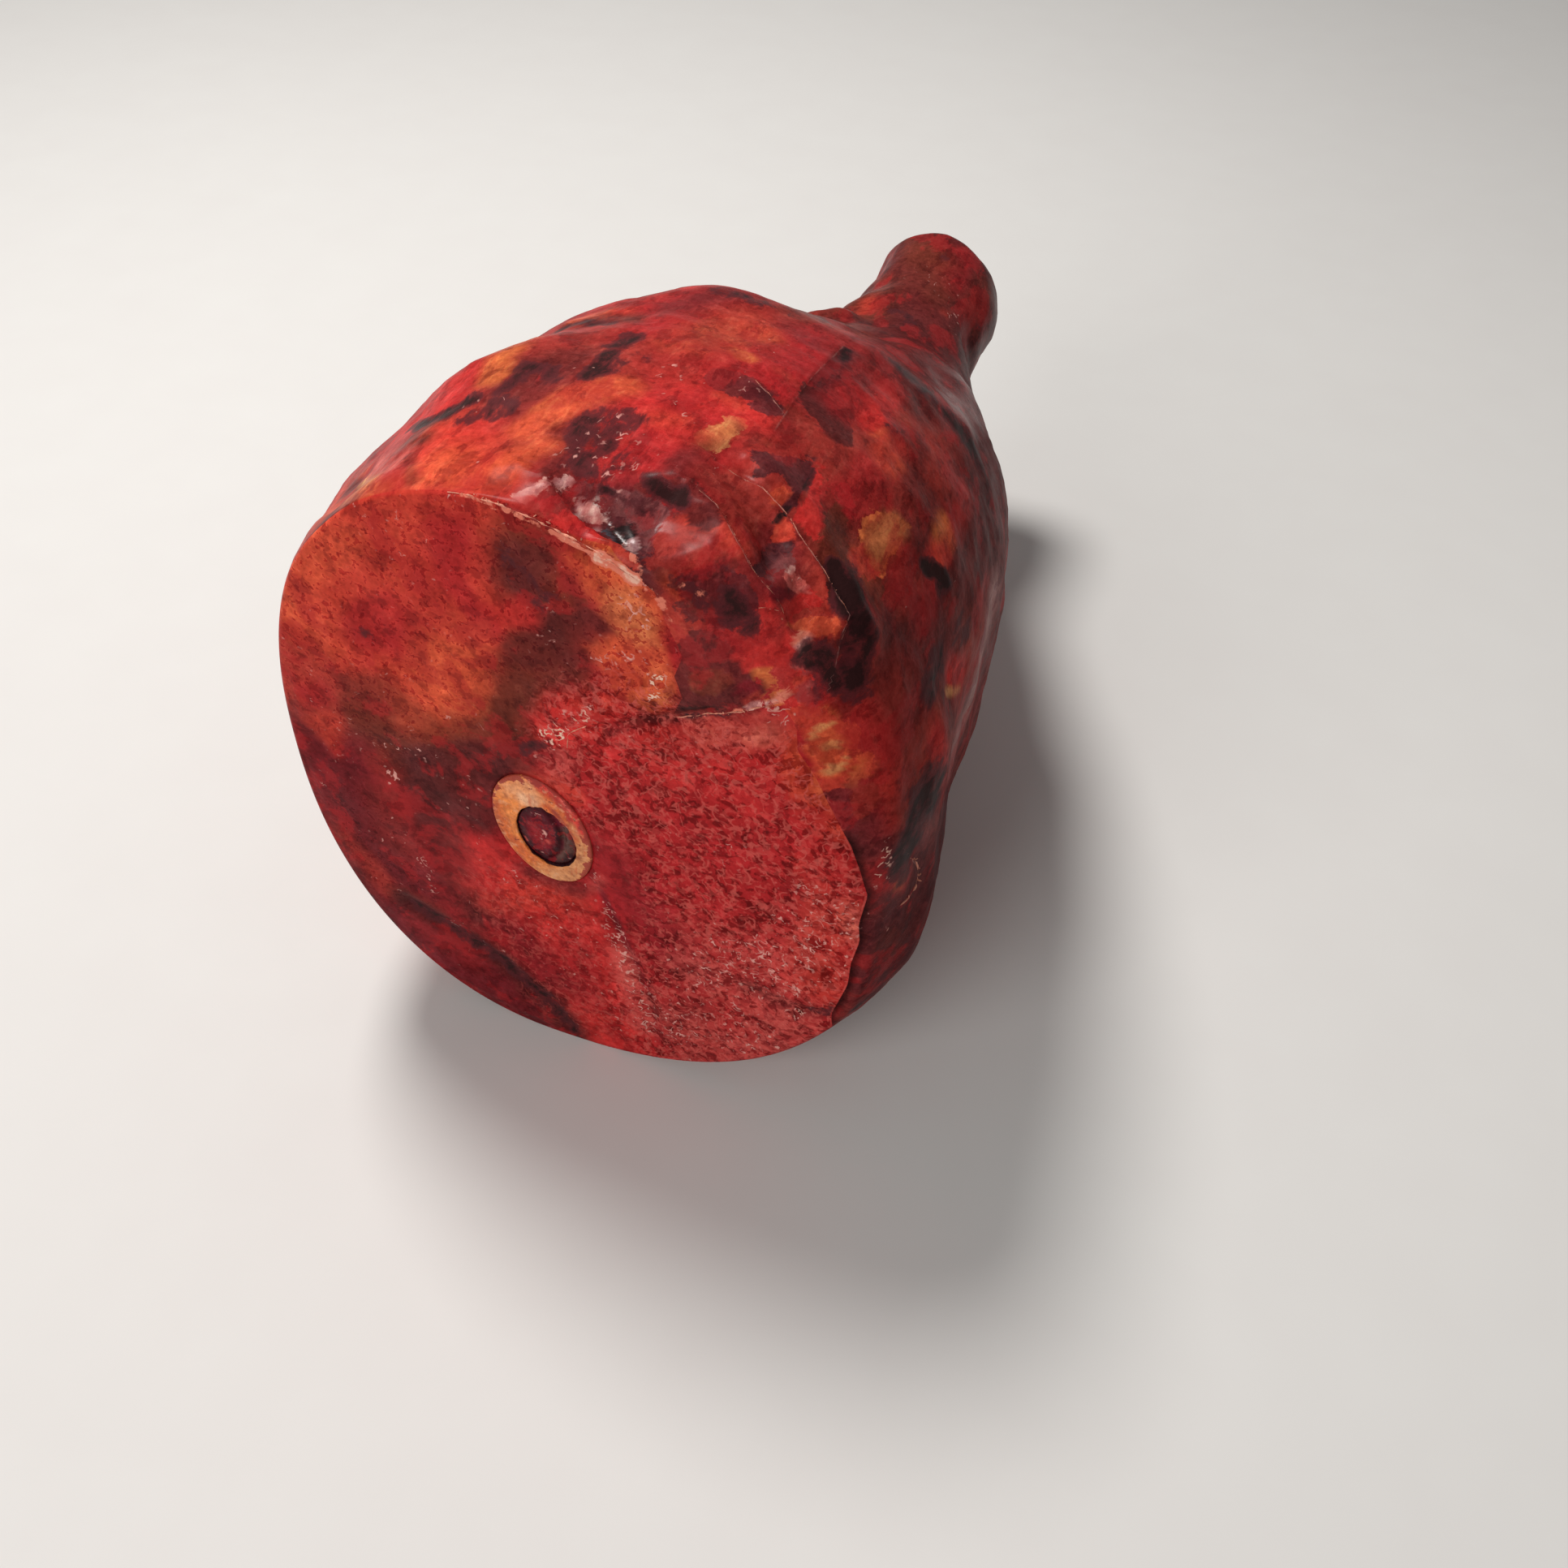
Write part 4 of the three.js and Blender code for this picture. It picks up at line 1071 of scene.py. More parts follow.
def fibre_group():
    """Short pale curls, as light fibres and fat show in printed meat."""
    found = bpy.data.node_groups.get("pale_fibres")
    if found:
        return found
    group, inlet, outlet = new_group(
        "pale_fibres", "ShaderNodeTree",
        [("Vector", "Vector"), ("Scale", "Float", 260.0), ("Width", "Float", 0.02),
         ("Amount", "Float", 0.5)],
        [("Share", "Float")])
    away = maths(group, "ABSOLUTE", noise_swing(group, inlet["Vector"], inlet["Scale"], 1.5, 0.5, 0.5))
    line = maths(group, "SUBTRACT", 1.0, maths(group, "DIVIDE", away, inlet["Width"]))
    line = maths(group, "MULTIPLY", line, 2.2, clamp=True)
    where = noise_value(group, inlet["Vector"], times(group, inlet["Scale"], 1.2), 1)
    limit = maths(group, "SUBTRACT", 0.72, times(group, inlet["Amount"], 0.32))
    patch = maths(group, "MULTIPLY", maths(group, "SUBTRACT", where, limit), 14.0, clamp=True)
    group.links.new(maths(group, "MULTIPLY", line, patch, clamp=True), outlet["Share"])
    return group


def pale_curls(tree, where, scale, width, amount):
    return add_node(tree, "ShaderNodeGroup", {
        "Vector": where, "Scale": scale, "Width": width, "Amount": amount},
        node_tree=fibre_group()).outputs["Share"]


def bumped(tree, strength, distance, height):
    return node_output(
        tree, "ShaderNodeBump", {"Strength": strength, "Distance": distance, "Height": height})


def new_material(name):
    old = bpy.data.materials.get(name)
    if old:
        bpy.data.materials.remove(old)
    material = bpy.data.materials.new(name)
    material.use_nodes = True
    tree = material.node_tree
    tree.nodes.clear()
    shader = tree.nodes.new("ShaderNodeBsdfPrincipled")
    outlet = tree.nodes.new("ShaderNodeOutputMaterial")
    tree.links.new(shader.outputs[0], outlet.inputs["Surface"])
    where = tree.nodes.new("ShaderNodeTexCoord").outputs["Object"]
    return material, tree, shader, where


# ---------------- the skin's finish

def print_with_patches(tree, side, ragged):
    """The soft print, and over it the patches whose firm edges stray by a noise in millimetres."""
    edge = maths(tree, "ADD", stored_value(tree, side + "_patch_edge"), ragged)
    return mix_colour(
        tree, ramp(tree, edge, -0.25, 0.35),
        stored_colour(tree, side + "_print"), stored_colour(tree, side + "_patch"))


def lay_grain(tree, where, along, off_cut, colour, colours):
    """Clumps and streaks of the meat, and in the lean meat gaps, brush strokes and pale curls."""
    lively = stored_value(tree, "lively")
    redder = noise_mask(tree, along, (85.0, 5, 0.62, 0.3), 0.52, 0.6)
    colour = inked(tree, colour, colours.crimson, redder, 0.5)
    clump = noise_value(tree, along, 210.0, 5, 0.62, 0.25)
    colour = tinted(tree, colour, (0.5, 0.34, 0.42), ramp(tree, clump, 0.47, 0.41), 0.6)
    colour = tinted(tree, colour, (1.25, 1.55, 1.5), ramp(tree, clump, 0.55, 0.64), lively, 0.6)
    streak = noise_mask(tree, stretched(tree, where, (1.0, 0.2, 1.0)), (640.0, 2, 0.5), 0.55, 0.68)
    colour = tinted(tree, colour, (1.25, 1.9, 1.8), streak, off_cut, lively, 0.5)

    grain = stored_value(tree, "grain")
    gaps = noise_mask(tree, where, (380.0, 3, 0.5, 0.6), 0.48, 0.42)
    colour = tinted(tree, colour, (0.5, 0.3, 0.34), gaps, grain, 0.95)
    brush = times(tree, noise_mask(tree, where, (330.0, 3, 0.55, 1.0), 0.53, 0.57), grain)
    colour = tinted(tree, colour, (1.25, 1.5, 1.45), brush, 0.7)
    colour = inked(tree, colour, colours.rose, brush, 0.2)
    curls = times(tree, pale_curls(tree, where, 360.0, 0.06, 0.85), grain, 0.5)
    return inked(tree, colour, colours.rose, curls), curls


def lay_film_edges(tree, where, face_edge, off_cut, colour, colours):
    """The shade and pale line of each lap, and the right-hand edge of the cut face's print with a painted
    shadow just outside it.
    """
    lap = stored_value(tree, "lap")
    shaded = times(tree, ramp(tree, lap, -0.06, 0.06), stored_value(tree, "lap_shade"))
    colour = tinted(tree, colour, (0.3, 0.18, 0.24), shaded)
    broken = noise_mask(tree, where, (300.0, 3), 0.42, 0.58)
    thin = ramp(tree, maths(tree, "ABSOLUTE", lap), 0.3, 0.1)
    colour = inked(tree, colour, colours.pink_and_highlight, thin, broken, stored_value(tree, "lap_line"), 0.55)
    edge = stored_value(tree, "face_edge_line_and_shadow")
    # painted shadow just outside the right-hand edge of the cut face's print
    under = ramp(tree, face_edge, -2.6, -0.1)
    colour = tinted(tree, colour, (0.1, 0.06, 0.08), under, off_cut, edge, 0.85)
    rim = ramp(tree, maths(tree, "ABSOLUTE", maths(tree, "SUBTRACT", face_edge, 0.25)), 0.35, 0.1)
    return inked(tree, colour, colours.rose, rim, broken, edge, 0.5)


def skin_material(colours):
    """Printed film: the marks with painted highlights and shade, then clumps, grain, pores, burns,
    painted shadow lines, fibres and the film's edges.
    """
    material, tree, shader, where = new_material("glazed_print")
    face_edge = stored_value(tree, "face_edge")
    on_cut = ramp(tree, face_edge, -0.05, 0.05)
    off_cut = maths(tree, "SUBTRACT", 1.0, on_cut)
    ragged = times(tree, noise_swing(tree, where, 160.0, 6, 0.7, 0.4), 9.0)
    along = stretched(tree, where, (1.0, 0.45, 1.0))
    colour = mix_colour(
        tree, on_cut, print_with_patches(tree, "skin", ragged), print_with_patches(tree, "face", ragged))
    colour, _ = mottled(tree, colour, where, 95.0, 560.0, 1.15)
    colour, curls = lay_grain(tree, where, along, off_cut, colour, colours)
    pores = noise_mask(tree, where, (560.0, 3, 0.6, 0.3), 0.56, 0.6)
    pores = times(tree, pores, stored_value(tree, "fleck"))
    colour = tinted(tree, colour, (0.55, 0.25, 0.34), pores)

    # scorched places and painted shadow lines: a purple brown fringe and a nearly black core, both with
    # ragged edges
    burn_and_shadow = stored_value(tree, "burn_and_shadow")
    burnt_and_shaded = maths(tree, "ADD", burn_and_shadow, times(tree, noise_swing(tree, along, 260.0, 6, 0.66, 0.3), 1.9))
    some = ramp(tree, burn_and_shadow, 0.03, 0.25)
    colour = inked(tree, colour, colours.plum, ramp(tree, burnt_and_shaded, 0.2, 0.5), some, 0.85)
    colour = inked(tree, colour, colours.char, ramp(tree, burnt_and_shaded, 0.5, 0.85), some, 0.9)

    # thin pale strokes, with bare paper in the brightest
    pale = stored_value(tree, "pale")
    amount = maths(tree, "SUBTRACT", pale, times(tree, off_cut, 0.35))
    strokes = pale_curls(tree, stretched(tree, where, (1.0, 0.6, 1.0)), 450.0, 0.046, amount)
    strokes = times(tree, strokes, ramp(tree, pale, 0.02, 0.3))
    bright = noise_mask(tree, where, (300.0, 2), 0.4, 0.62, 0.3, 0.85)
    colour = inked(tree, colour, colours.pink_and_highlight, strokes, bright)
    colour = inked(tree, colour, colours.paper, strokes, ramp(tree, pale, 0.85, 1.1))

    # where the print is worn off down to the paper
    worn = maths(tree, "ADD", stored_value(tree, "worn"), noise_swing(tree, where, 330.0, 4, 0.6, 0.4))
    colour = inked(tree, colour, colours.salmon, ramp(tree, worn, 0.4, 0.52), 0.9)
    colour = inked(tree, colour, colours.paper, ramp(tree, worn, 0.62, 0.8), 0.8)
    colour = lay_film_edges(tree, where, face_edge, off_cut, colour, colours)

    height = noise_value(tree, where, 150.0, 6, 0.62)
    for detail, share in ((strokes, 0.1), (curls, 0.2), (pores, -0.06)):
        height = maths(tree, "ADD", height, times(tree, detail, share))
    smear = noise_value(tree, where, 60.0, 4, 0.6)
    set_inputs(tree, shader, {
        "Base Color": colour,
        "Roughness": ramp(tree, smear, 0.35, 0.7, 0.42, 0.6),
        "Normal": bumped(tree, 0.6, 0.001, height),
        "Coat Weight": times(tree, stored_value(tree, "gloss"), ramp(tree, smear, 0.65, 0.35, 0.7, 1.0)),
        "Coat Roughness": 0.24,
        "Coat IOR": 1.4,
        "Specular IOR Level": 0.012,
    })
    return material


# ---------------- meshes

def rings_to_mesh(name, rings):
    """A closed skin over rows of rings, with a point in the middle of each end."""
    count = len(rings[0])
    points = np.concatenate([[rings[0].mean(0)], *rings, [rings[-1].mean(0)]])
    last = len(points) - 1
    base = last - count
    faces = [(0, 1 + (i + 1) % count, 1 + i) for i in range(count)]
    for row in range(1, base, count):
        for i in range(count):
            j = (i + 1) % count
            faces.append((row + i, row + j, row + count + j, row + count + i))
    faces += [(last, base + i, base + (i + 1) % count) for i in range(count)]
    mesh = bpy.data.meshes.new(name)
    mesh.from_pydata(((points + LEG_SHIFT) * MM).tolist(), [], faces)
    mesh.validate()
    mesh.shade_smooth()
    return mesh, points


def ring_rows(start, end, shares):
    """Rings between one ring, or point, and the next."""
    return [start + (end - start) * share for share in shares]


def wider(half, extra):
    return half[0] + extra, half[1] + extra


def add_object(name, data):
    """A new object, linked to the scene."""
    made = bpy.data.objects.new(name, data)
    bpy.context.scene.collection.objects.link(made)
    return made


def put_value(mesh, name, values):
    mesh.attributes.new(name, "FLOAT", "POINT").data.foreach_set("value", values.astype(np.float32))


def put_colour(mesh, name, values):
    rows = np.concatenate([values, np.ones((len(values), 1))], 1).astype(np.float32)
    mesh.attributes.new(name, "FLOAT_COLOR", "POINT").data.foreach_set("color", rows.ravel())


def lay_ink(paint, ink, share):
    """Moves the paint towards the ink, by a share at each point."""
    paint += share[:, None] * (np.array(ink) - paint)


def finish_piece(name, mesh, material, node=None):
    """Links the piece, gives it its finish and tells the frame what it is."""
    mesh.materials.clear()
    mesh.materials.append(material)
    piece = add_object(name, mesh)
    if node:
        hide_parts(node)
    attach(piece, BODY)
    return piece


# ---------------- the skin's form

SPOKE_CROWDS = [(58, 76, 1.0), (76, 13, 0.9)]  # turn, reach in degrees, extra density
SHANK_RING_DEPTHS = (0, 0.15, 0.6, 1.4, 2.6, 4.2)
SHANK_RINGS = 10
RING_STEP = 0.7
RING_STEP_GROWTH = [(24, 50, 0.5), (80, 140, 0.8), (150, 220, 1.6)]  # from, to, added step
CUT_RING_STATIONS = [2.7, 2.1, 1.5, 1.0, 0.6, 0.25, 0.08, 0.0]
CUT_RINGS = 72
BORE_RING_STATIONS = (1.0, 4.0, 20.0, 90.0, 180.0, BONE_LENGTH + GAP)
FAR_FROM_LAPS = 40.0
STRAYS = [(17.0, 0.6), (7.0, 0.45), (3.2, 0.3)]  # size of the noise, and its share


def spoke_turns(count):
    """Turns round the leg, closer together on its upper right side and closest by the pocket."""
    even = np.linspace(0, 1, 1440, endpoint=False) * 360
    density = np.full(len(even), 0.6)
    for turn, reach, more in SPOKE_CROWDS:
        density += more * np.exp(-((turn_between(turn, even) / reach) ** 4))
    total = np.concatenate([[0], np.cumsum(density)])
    wanted = np.arange(count) / count * total[-1]
    return np.interp(wanted, total, np.append(even, 360))


def stations_of_rings():
    """From the shank's rounded edge to the cut face, closer together where the detail is finer."""
    steps = [LEG_LENGTH - depth for depth in SHANK_RING_DEPTHS]
    station = LEG_LENGTH - 6.5
    while station > 3.4:
        steps.append(station)
        station -= RING_STEP
        for low, high, more in RING_STEP_GROWTH:
            station -= more * float(smooth_step(station, low, high))
    return steps + CUT_RING_STATIONS


def fine_height(points, crumple, full_waves):
    """The paper's creases and small unevenness over the skin."""
    height = crumple * 1.5 * (0.35 - crease_noise(points, 34.0))
    height += crumple * 0.7 * (0.35 - crease_noise(points, 13.0, 5.0))
    height += crumple * 0.5 * layered_noise(points, 9.0, 2.0)
    return height * full_waves


def crease_height(points, surface, creases):
    height = np.zeros(len(points))
    for reach, rise, *spots in creases:
        distance = nearest_on_path(points, surface(spots))[0]
        height += rise * np.exp(-((distance / reach) ** 2))
    return height


def lap_fields(points, outward):
    """Signed distance to the nearest lap of paper, how dark its low side is, its line and step."""
    signed, nearest = np.full((2, len(points)), FAR_FROM_LAPS)
    darkness, line, step = np.zeros((3, len(points)))
    for spots, dark, pale, rise in PAPER_LAPS:
        path = on_skin(spots)
        distance, spot, way = nearest_on_path(points, path)
        side = np.sign(np.einsum("ij,ij->i", np.cross(outward, way), points - spot) + 1e-9)
        ends = np.minimum(*(np.linalg.norm(points - end, axis=1) for end in (path[0], path[-1])))
        window = smooth_step(ends, 0, 4)
        closer = distance < nearest
        for field, values in (
            (nearest, distance), (signed, side * distance), (line, pale * window),
            (darkness, dark * window * np.exp(-distance / 7)),
        ):
            field[closer] = values[closer]
        step += rise * side * np.exp(-distance / 5) * smooth_step(distance, 0, 0.8) * window
    return signed, darkness, line, step


def shank_rings(turns):
    """The shank's flat end, from near its middle to its edge."""
    edge = leg_point(np.full_like(turns, LEG_LENGTH), turns, SHANK_EDGE + 0.2)
    return ring_rows(edge.mean(0), edge, np.linspace(0.1, 1, SHANK_RINGS))


def side_rings(stations, turns, cut_radius, crumple):
    """The leg's sides, with their creases and the steps where the paper laps, and those laps."""
    insets = np.where(
        stations > LEG_LENGTH - SHANK_EDGE,
        edge_inset(SHANK_EDGE, LEG_LENGTH - stations), edge_inset(cut_radius, stations))
    plain = leg_point(stations, turns, insets)
    half_way_up = (leg_size("top", stations) + leg_size("bottom", stations)) / 2
    outward = plain - np.stack([leg_size("crest", stations), stations, half_way_up], -1)
    outward /= np.linalg.norm(outward, axis=1)[:, None]
    *laps, step = lap_fields(plain, outward)
    fade = smooth_step(stations, 0.5, 10) * (1 - 0.5 * smooth_step(stations, 280, LEG_LENGTH))
    lift = fine_height(plain, crumple, fade)
    lift += (crease_height(plain, on_skin, SKIN_CREASES) + step) * smooth_step(stations, 0, 4)
    return leg_point(stations, turns, insets, lift), laps


def cut_rings(rim, turns, crumple):
    """The cut face, from its rim to the mouth of the bore, and the bore."""
    angles = np.radians(turns)
    bore = [bone_ring(station, wider(BONE_HALF, GAP), angles) for station in (0.0, *BORE_RING_STATIONS)]
    shares = np.linspace(0, 1, CUT_RINGS + 1)[1:]
    face = np.concatenate(ring_rows(rim, bore[0], shares))
    bulge = 0.55 * layered_noise(face, 34.0, 7.0)
    bulge += crumple * 0.7 * (0.35 - crease_noise(face, 30.0, 9.0))
    bulge += 0.16 * layered_noise(face, 6.0, 4.0)
    bulge += crease_height(face, on_face, FACE_CREASES)
    share = np.repeat(shares, len(turns))
    bulge *= smooth_step(share, 0, 0.06) * (1 - smooth_step(share, 0.93, 1))
    face[:, 1] -= bulge
    return [*face.reshape(len(shares), len(turns), 3), *bore[1:]]


# ---------------- the skin's print

def skin_base_print(points, colours):
    """Uneven glaze in broad soft fields, which the named marks are laid over, and its scorching."""
    tone = layered_noise(points, 42.0, 3.0)
    glaze = layered_noise(points, 30.0, 11.0)
    fat = layered_noise(points, 22.0, 17.0)
    paint = np.tile(np.array(colours.brick), (len(points), 1))
    for share, ink in (
        (smooth_step(tone, -0.1, 0.35), colours.crimson),
        (smooth_step(-tone, 0.15, 0.55), colours.deep),
        (smooth_step(glaze, 0.12, 0.5) * 0.9, colours.orange_red),
        (smooth_step(-glaze, 0.3, 0.6) * 0.8, colours.maroon),
        (smooth_step(fat, 0.34, 0.7) * 0.6, colours.orange),
    ):
        lay_ink(paint, ink, share)
    seen = mark_share(points, on_skin([(30, 60), (60, 62), (110, 60)]), 100, 0.25)
    scorching = smooth_step(-fat, 0.34, 0.9) * 0.75
    return paint, scorching * (1 - seen) * (1 - smooth_step(points[:, 1], 262, 286))


def lay_marks(points, strays, paint, marks, surface, colours):
    """Lays marks over the print. Firm ones are kept apart, as a colour and a depth inside the edge."""
    patch = paint.copy()
    edge = np.full(len(points), -6.0)
    for colour, half_width, softness, strength, *spots in marks:
        ink = np.array(getattr(colours, colour))
        firm = softness <= FIRM
        moved = points + strays * min(half_width, 14) * (0.5 if firm else 1)
        if firm:
            depth = half_width - nearest_on_path(moved, surface(spots))[0]
            over = (depth > 0) | (depth > edge)
            patch[over] = (paint + strength * (ink - paint))[over]
            edge = np.maximum(edge, depth)
        else:
            share = strength * mark_share(moved, surface(spots), half_width, softness)
            lay_ink(paint, ink, share)
            lay_ink(patch, ink, share)
    return patch, edge


def lay_facets(across, up, strays, paint, patch, edge, facets, colours):
    """Lays flat fields, given by their corners in the plane of across and up, over the firm patches."""
    across = across + strays[:, 0] * FACET_STRAY
    up = up + strays[:, 1] * FACET_STRAY
    for colour, strength, *corners in facets:
        ink = np.array(getattr(colours, colour))
        depth = outline_depth(across, up, corners)
        over = (depth > 0) | ((depth > edge) & (edge < 0))
        patch[over] = (paint + strength * (ink - paint))[over]
        np.maximum(edge, depth, out=edge)


def lay_soft_fields(points, strays, paint, fields, colours):
    """Lays fields of the cut face's print, given by their corners, with brushed out edges."""
    across = points[:, 0] + strays[:, 0] * FIELD_STRAY
    up = points[:, 2] + strays[:, 1] * FIELD_STRAY
    for colour, strength, *corners in fields:
        share = strength * smooth_step(outline_depth(across, up, corners), -FIELD_BLUR, FIELD_BLUR)
        lay_ink(paint, getattr(colours, colour), share)


def store_print(mesh, side, paint, patch, patch_edge):
    put_colour(mesh, side + "_print", paint)
    put_colour(mesh, side + "_patch", patch)
    put_value(mesh, side + "_patch_edge", patch_edge)


def print_sides(mesh, points, strays, colours, paint, rows, stations, turns):
    """The print of the leg's sides. Its facets need each side point's own station and turn."""
    patch, edge = lay_marks(points, strays, paint, SKIN_PRINT, on_skin, colours)
    facets = [(colour, strength, *((station, turn * MM_A_TURN) for station, turn in corners))
              for colour, strength, *corners in PRINT_FACETS]
    lay_facets(stations, turns * MM_A_TURN, strays[rows], paint[rows], patch[rows], edge[rows],
               facets, colours)
    near = points[:, 1] < 20
    near_patch, near_edge = patch[near], edge[near]
    lay_facets(points[near, 0], points[near, 2], strays[near], paint[near], near_patch,
               near_edge, EDGE_FACETS, colours)
    patch[near], edge[near] = near_patch, near_edge
    store_print(mesh, "skin", paint, patch, edge)


def print_cut(mesh, points, strays, colours):
    """The print of the cut face."""
    paint = np.tile(np.array(colours.crimson), (len(points), 1))
    patch, edge = lay_marks(points, strays, paint, FACE_PRINT, on_face, colours)
    lay_soft_fields(points, strays, paint, FACE_FIELDS, colours)
    store_print(mesh, "face", paint, patch, edge)


def strongest(points, strays, skin_marks, face_marks=()):
    """At each point, the share of the mark that is strongest there."""
    share = np.zeros(len(points))
    for surface, marks in ((on_skin, skin_marks), (on_face, face_marks)):
        for half_width, softness, strength, *spots in marks:
            moved = points + strays * min(half_width, 8)
            here = strength * mark_share(moved, surface(spots), half_width, softness)
            share = np.maximum(share, here)
    return share


def face_print_edge(points, rows, cut_radius):
    """Depth inside the cut face's print, which goes part of the way up the rolled edge."""
    reach = np.full(len(points), 1.0)
    reach[rows] = np.interp(cut_radius, [SHARP_EDGE, ROLLED_EDGE], [0.9, 12])
    reach[rows.stop:] = 60.0  # all of the cut face
    outline = outline_depth(points[:, 0], points[:, 2], FACE_PRINT_OUTLINE)
    return np.minimum(outline, reach - points[:, 1])


def print_masks(points, strays, face_edge, burn_and_shadow):
    """Where the finish of the print changes, each as a share at every point."""
    on_cut = face_edge > 0
    skin_burn = np.maximum(burn_and_shadow, strongest(points, strays, SKIN_BURNS))
    dull = strongest(points, strays, SKIN_DULL)
    gloss = np.where(on_cut, 0.14, 0.26) * (1 - 0.9 * dull)
    faint = 0.12 + 0.16 * layered_noise(points, 18.0, 21.0)
    shank = smooth_step(points[:, 1], 140, 205)
    big_muscle, small_muscle, upper, lower = [
        mark_share(points, on_face(path), half_width, softness) for path, half_width, softness in (
            ([(24, 118), (48, 110), (50, 60), (36, 24)], 30, 0.2),
            ([(-12, 50), (0, 24)], 20, 0.4),
            ([(-50, 120), (-44, 150), (0, 164), (22, 158)], 26, 0.4),
            ([(-60, 70), (-54, 46)], 12, 0.6),
        )
    ]
    return {
        "face_edge": face_edge,
        "face_edge_line_and_shadow": mark_share(points, on_face(FACE_PRINT_RIGHT), 7, 0.5),
        "burn_and_shadow": np.where(on_cut, strongest(points, strays, (), FACE_BURNS_AND_SHADOWS), skin_burn),
        "pale": np.maximum(faint, strongest(points, strays, SKIN_PALE, FACE_PALE)),
        "gloss": np.maximum(gloss, strongest(points, strays, SKIN_GLOSS)),
        "worn": strongest(points, strays, SKIN_WORN, FACE_WORN),
        "lively": (1 - 0.8 * shank) * (1 - 0.75 * dull),
        "grain": np.where(on_cut, np.maximum(big_muscle, small_muscle * 0.55), 0.12),
        "fleck": np.where(on_cut, 0.2 + 0.7 * np.maximum(upper, lower), 0.3),
    }


def make_skin(settings, colours):
    """The printed skin as one closed mesh, with the print and its finish stored on its points."""
    turns = spoke_turns(settings.spokes)
    ring_stations = stations_of_rings()
    side_stations = np.repeat(ring_stations, len(turns))
    side_turns = np.tile(turns, len(ring_stations))
    cut_radius = np.tile(cut_edge_radius(turns), len(ring_stations))
    sides, laps = side_rings(side_stations, side_turns, cut_radius, settings.crumple)
    sides = sides.reshape(len(ring_stations), len(turns), 3)
    shank = shank_rings(turns)
    cut = cut_rings(sides[-1], turns, settings.crumple)
    mesh, points = rings_to_mesh("ham_skin", [*shank, *sides, *cut])

    first = 1 + len(shank) * len(turns)
    rows = slice(first, first + len(side_turns))
    strays = settings.raggedness * sum(share * vector_noise(points, size, size) for size, share in STRAYS)
    paint, burn_and_shadow = skin_base_print(points, colours)
    print_sides(mesh, points, strays, colours, paint, rows, side_stations, side_turns)
    print_cut(mesh, points, strays, colours)
    masks = print_masks(points, strays, face_print_edge(points, rows, cut_radius), burn_and_shadow)
    for name, values, elsewhere in zip(("lap", "lap_shade", "lap_line"), laps, (FAR_FROM_LAPS, 0, 0)):
        masks[name] = np.full(len(points), float(elsewhere))
        masks[name][rows] = values
    for name, values in masks.items():
        put_value(mesh, name, values)
    return mesh


# ---------------- the bone and its marrow

BONE_SPOKES = 112
BONE_RING_STATIONS = (BONE_LENGTH, 200, 140, 90, 50, 25, 12, 6, 3, 1.5, 0.5)
SAWN_RINGS = 24
HOLE_RING_STATIONS = (1.6, 2.6, 4, 8, 20, 60, 120, 180, MARROW_LENGTH + GAP)
MARROW_SPOKES = 96
MARROW_RING_STATIONS = (MARROW_LENGTH, 180, 120, 60, 20, 8)
MARROW_DOME_RINGS = 30


def make_bone(settings):
    """The sawn bone as a closed tube: outside, sawn end with its ragged lip, and the marrow hole."""
    angles = np.linspace(0, 2 * math.pi, BONE_SPOKES, endpoint=False)
    proud = settings.proud / MM

    def outside(station, inset=0.0):
        return bone_ring(station, wider(BONE_HALF, FIT - inset), angles)

    def hole(station):
        return bone_ring(station, wider(MARROW_HALF, GAP), angles, MARROW_OFF)

    rings = [outside(BONE_LENGTH, inset) for inset in (9, 4, 1)]
    rings += [outside(station) for station in BONE_RING_STATIONS]
    rings += [outside(-proud + 0.25, 0.05), outside(-proud + 0.06, 0.25)]
    lip = hole(-proud)
    chips = 0.45 + 0.55 * layered_noise(lip, 2.6, 6.0) + 0.25 * np.cos(angles)
    middle = lip.mean(0)
    lip = middle + (lip - middle) * (1 + np.maximum(0.05, chips) / 8.5)[:, None]
    rings += ring_rows(outside(-proud, 0.6), lip, np.linspace(0, 1, SAWN_RINGS))
    rings += ring_rows(lip, hole(0.5), (0.3, 0.65)) + [hole(0.8)]
    rings += [hole(station) for station in HOLE_RING_STATIONS]
    return rings_to_mesh("ham_bone", rings)


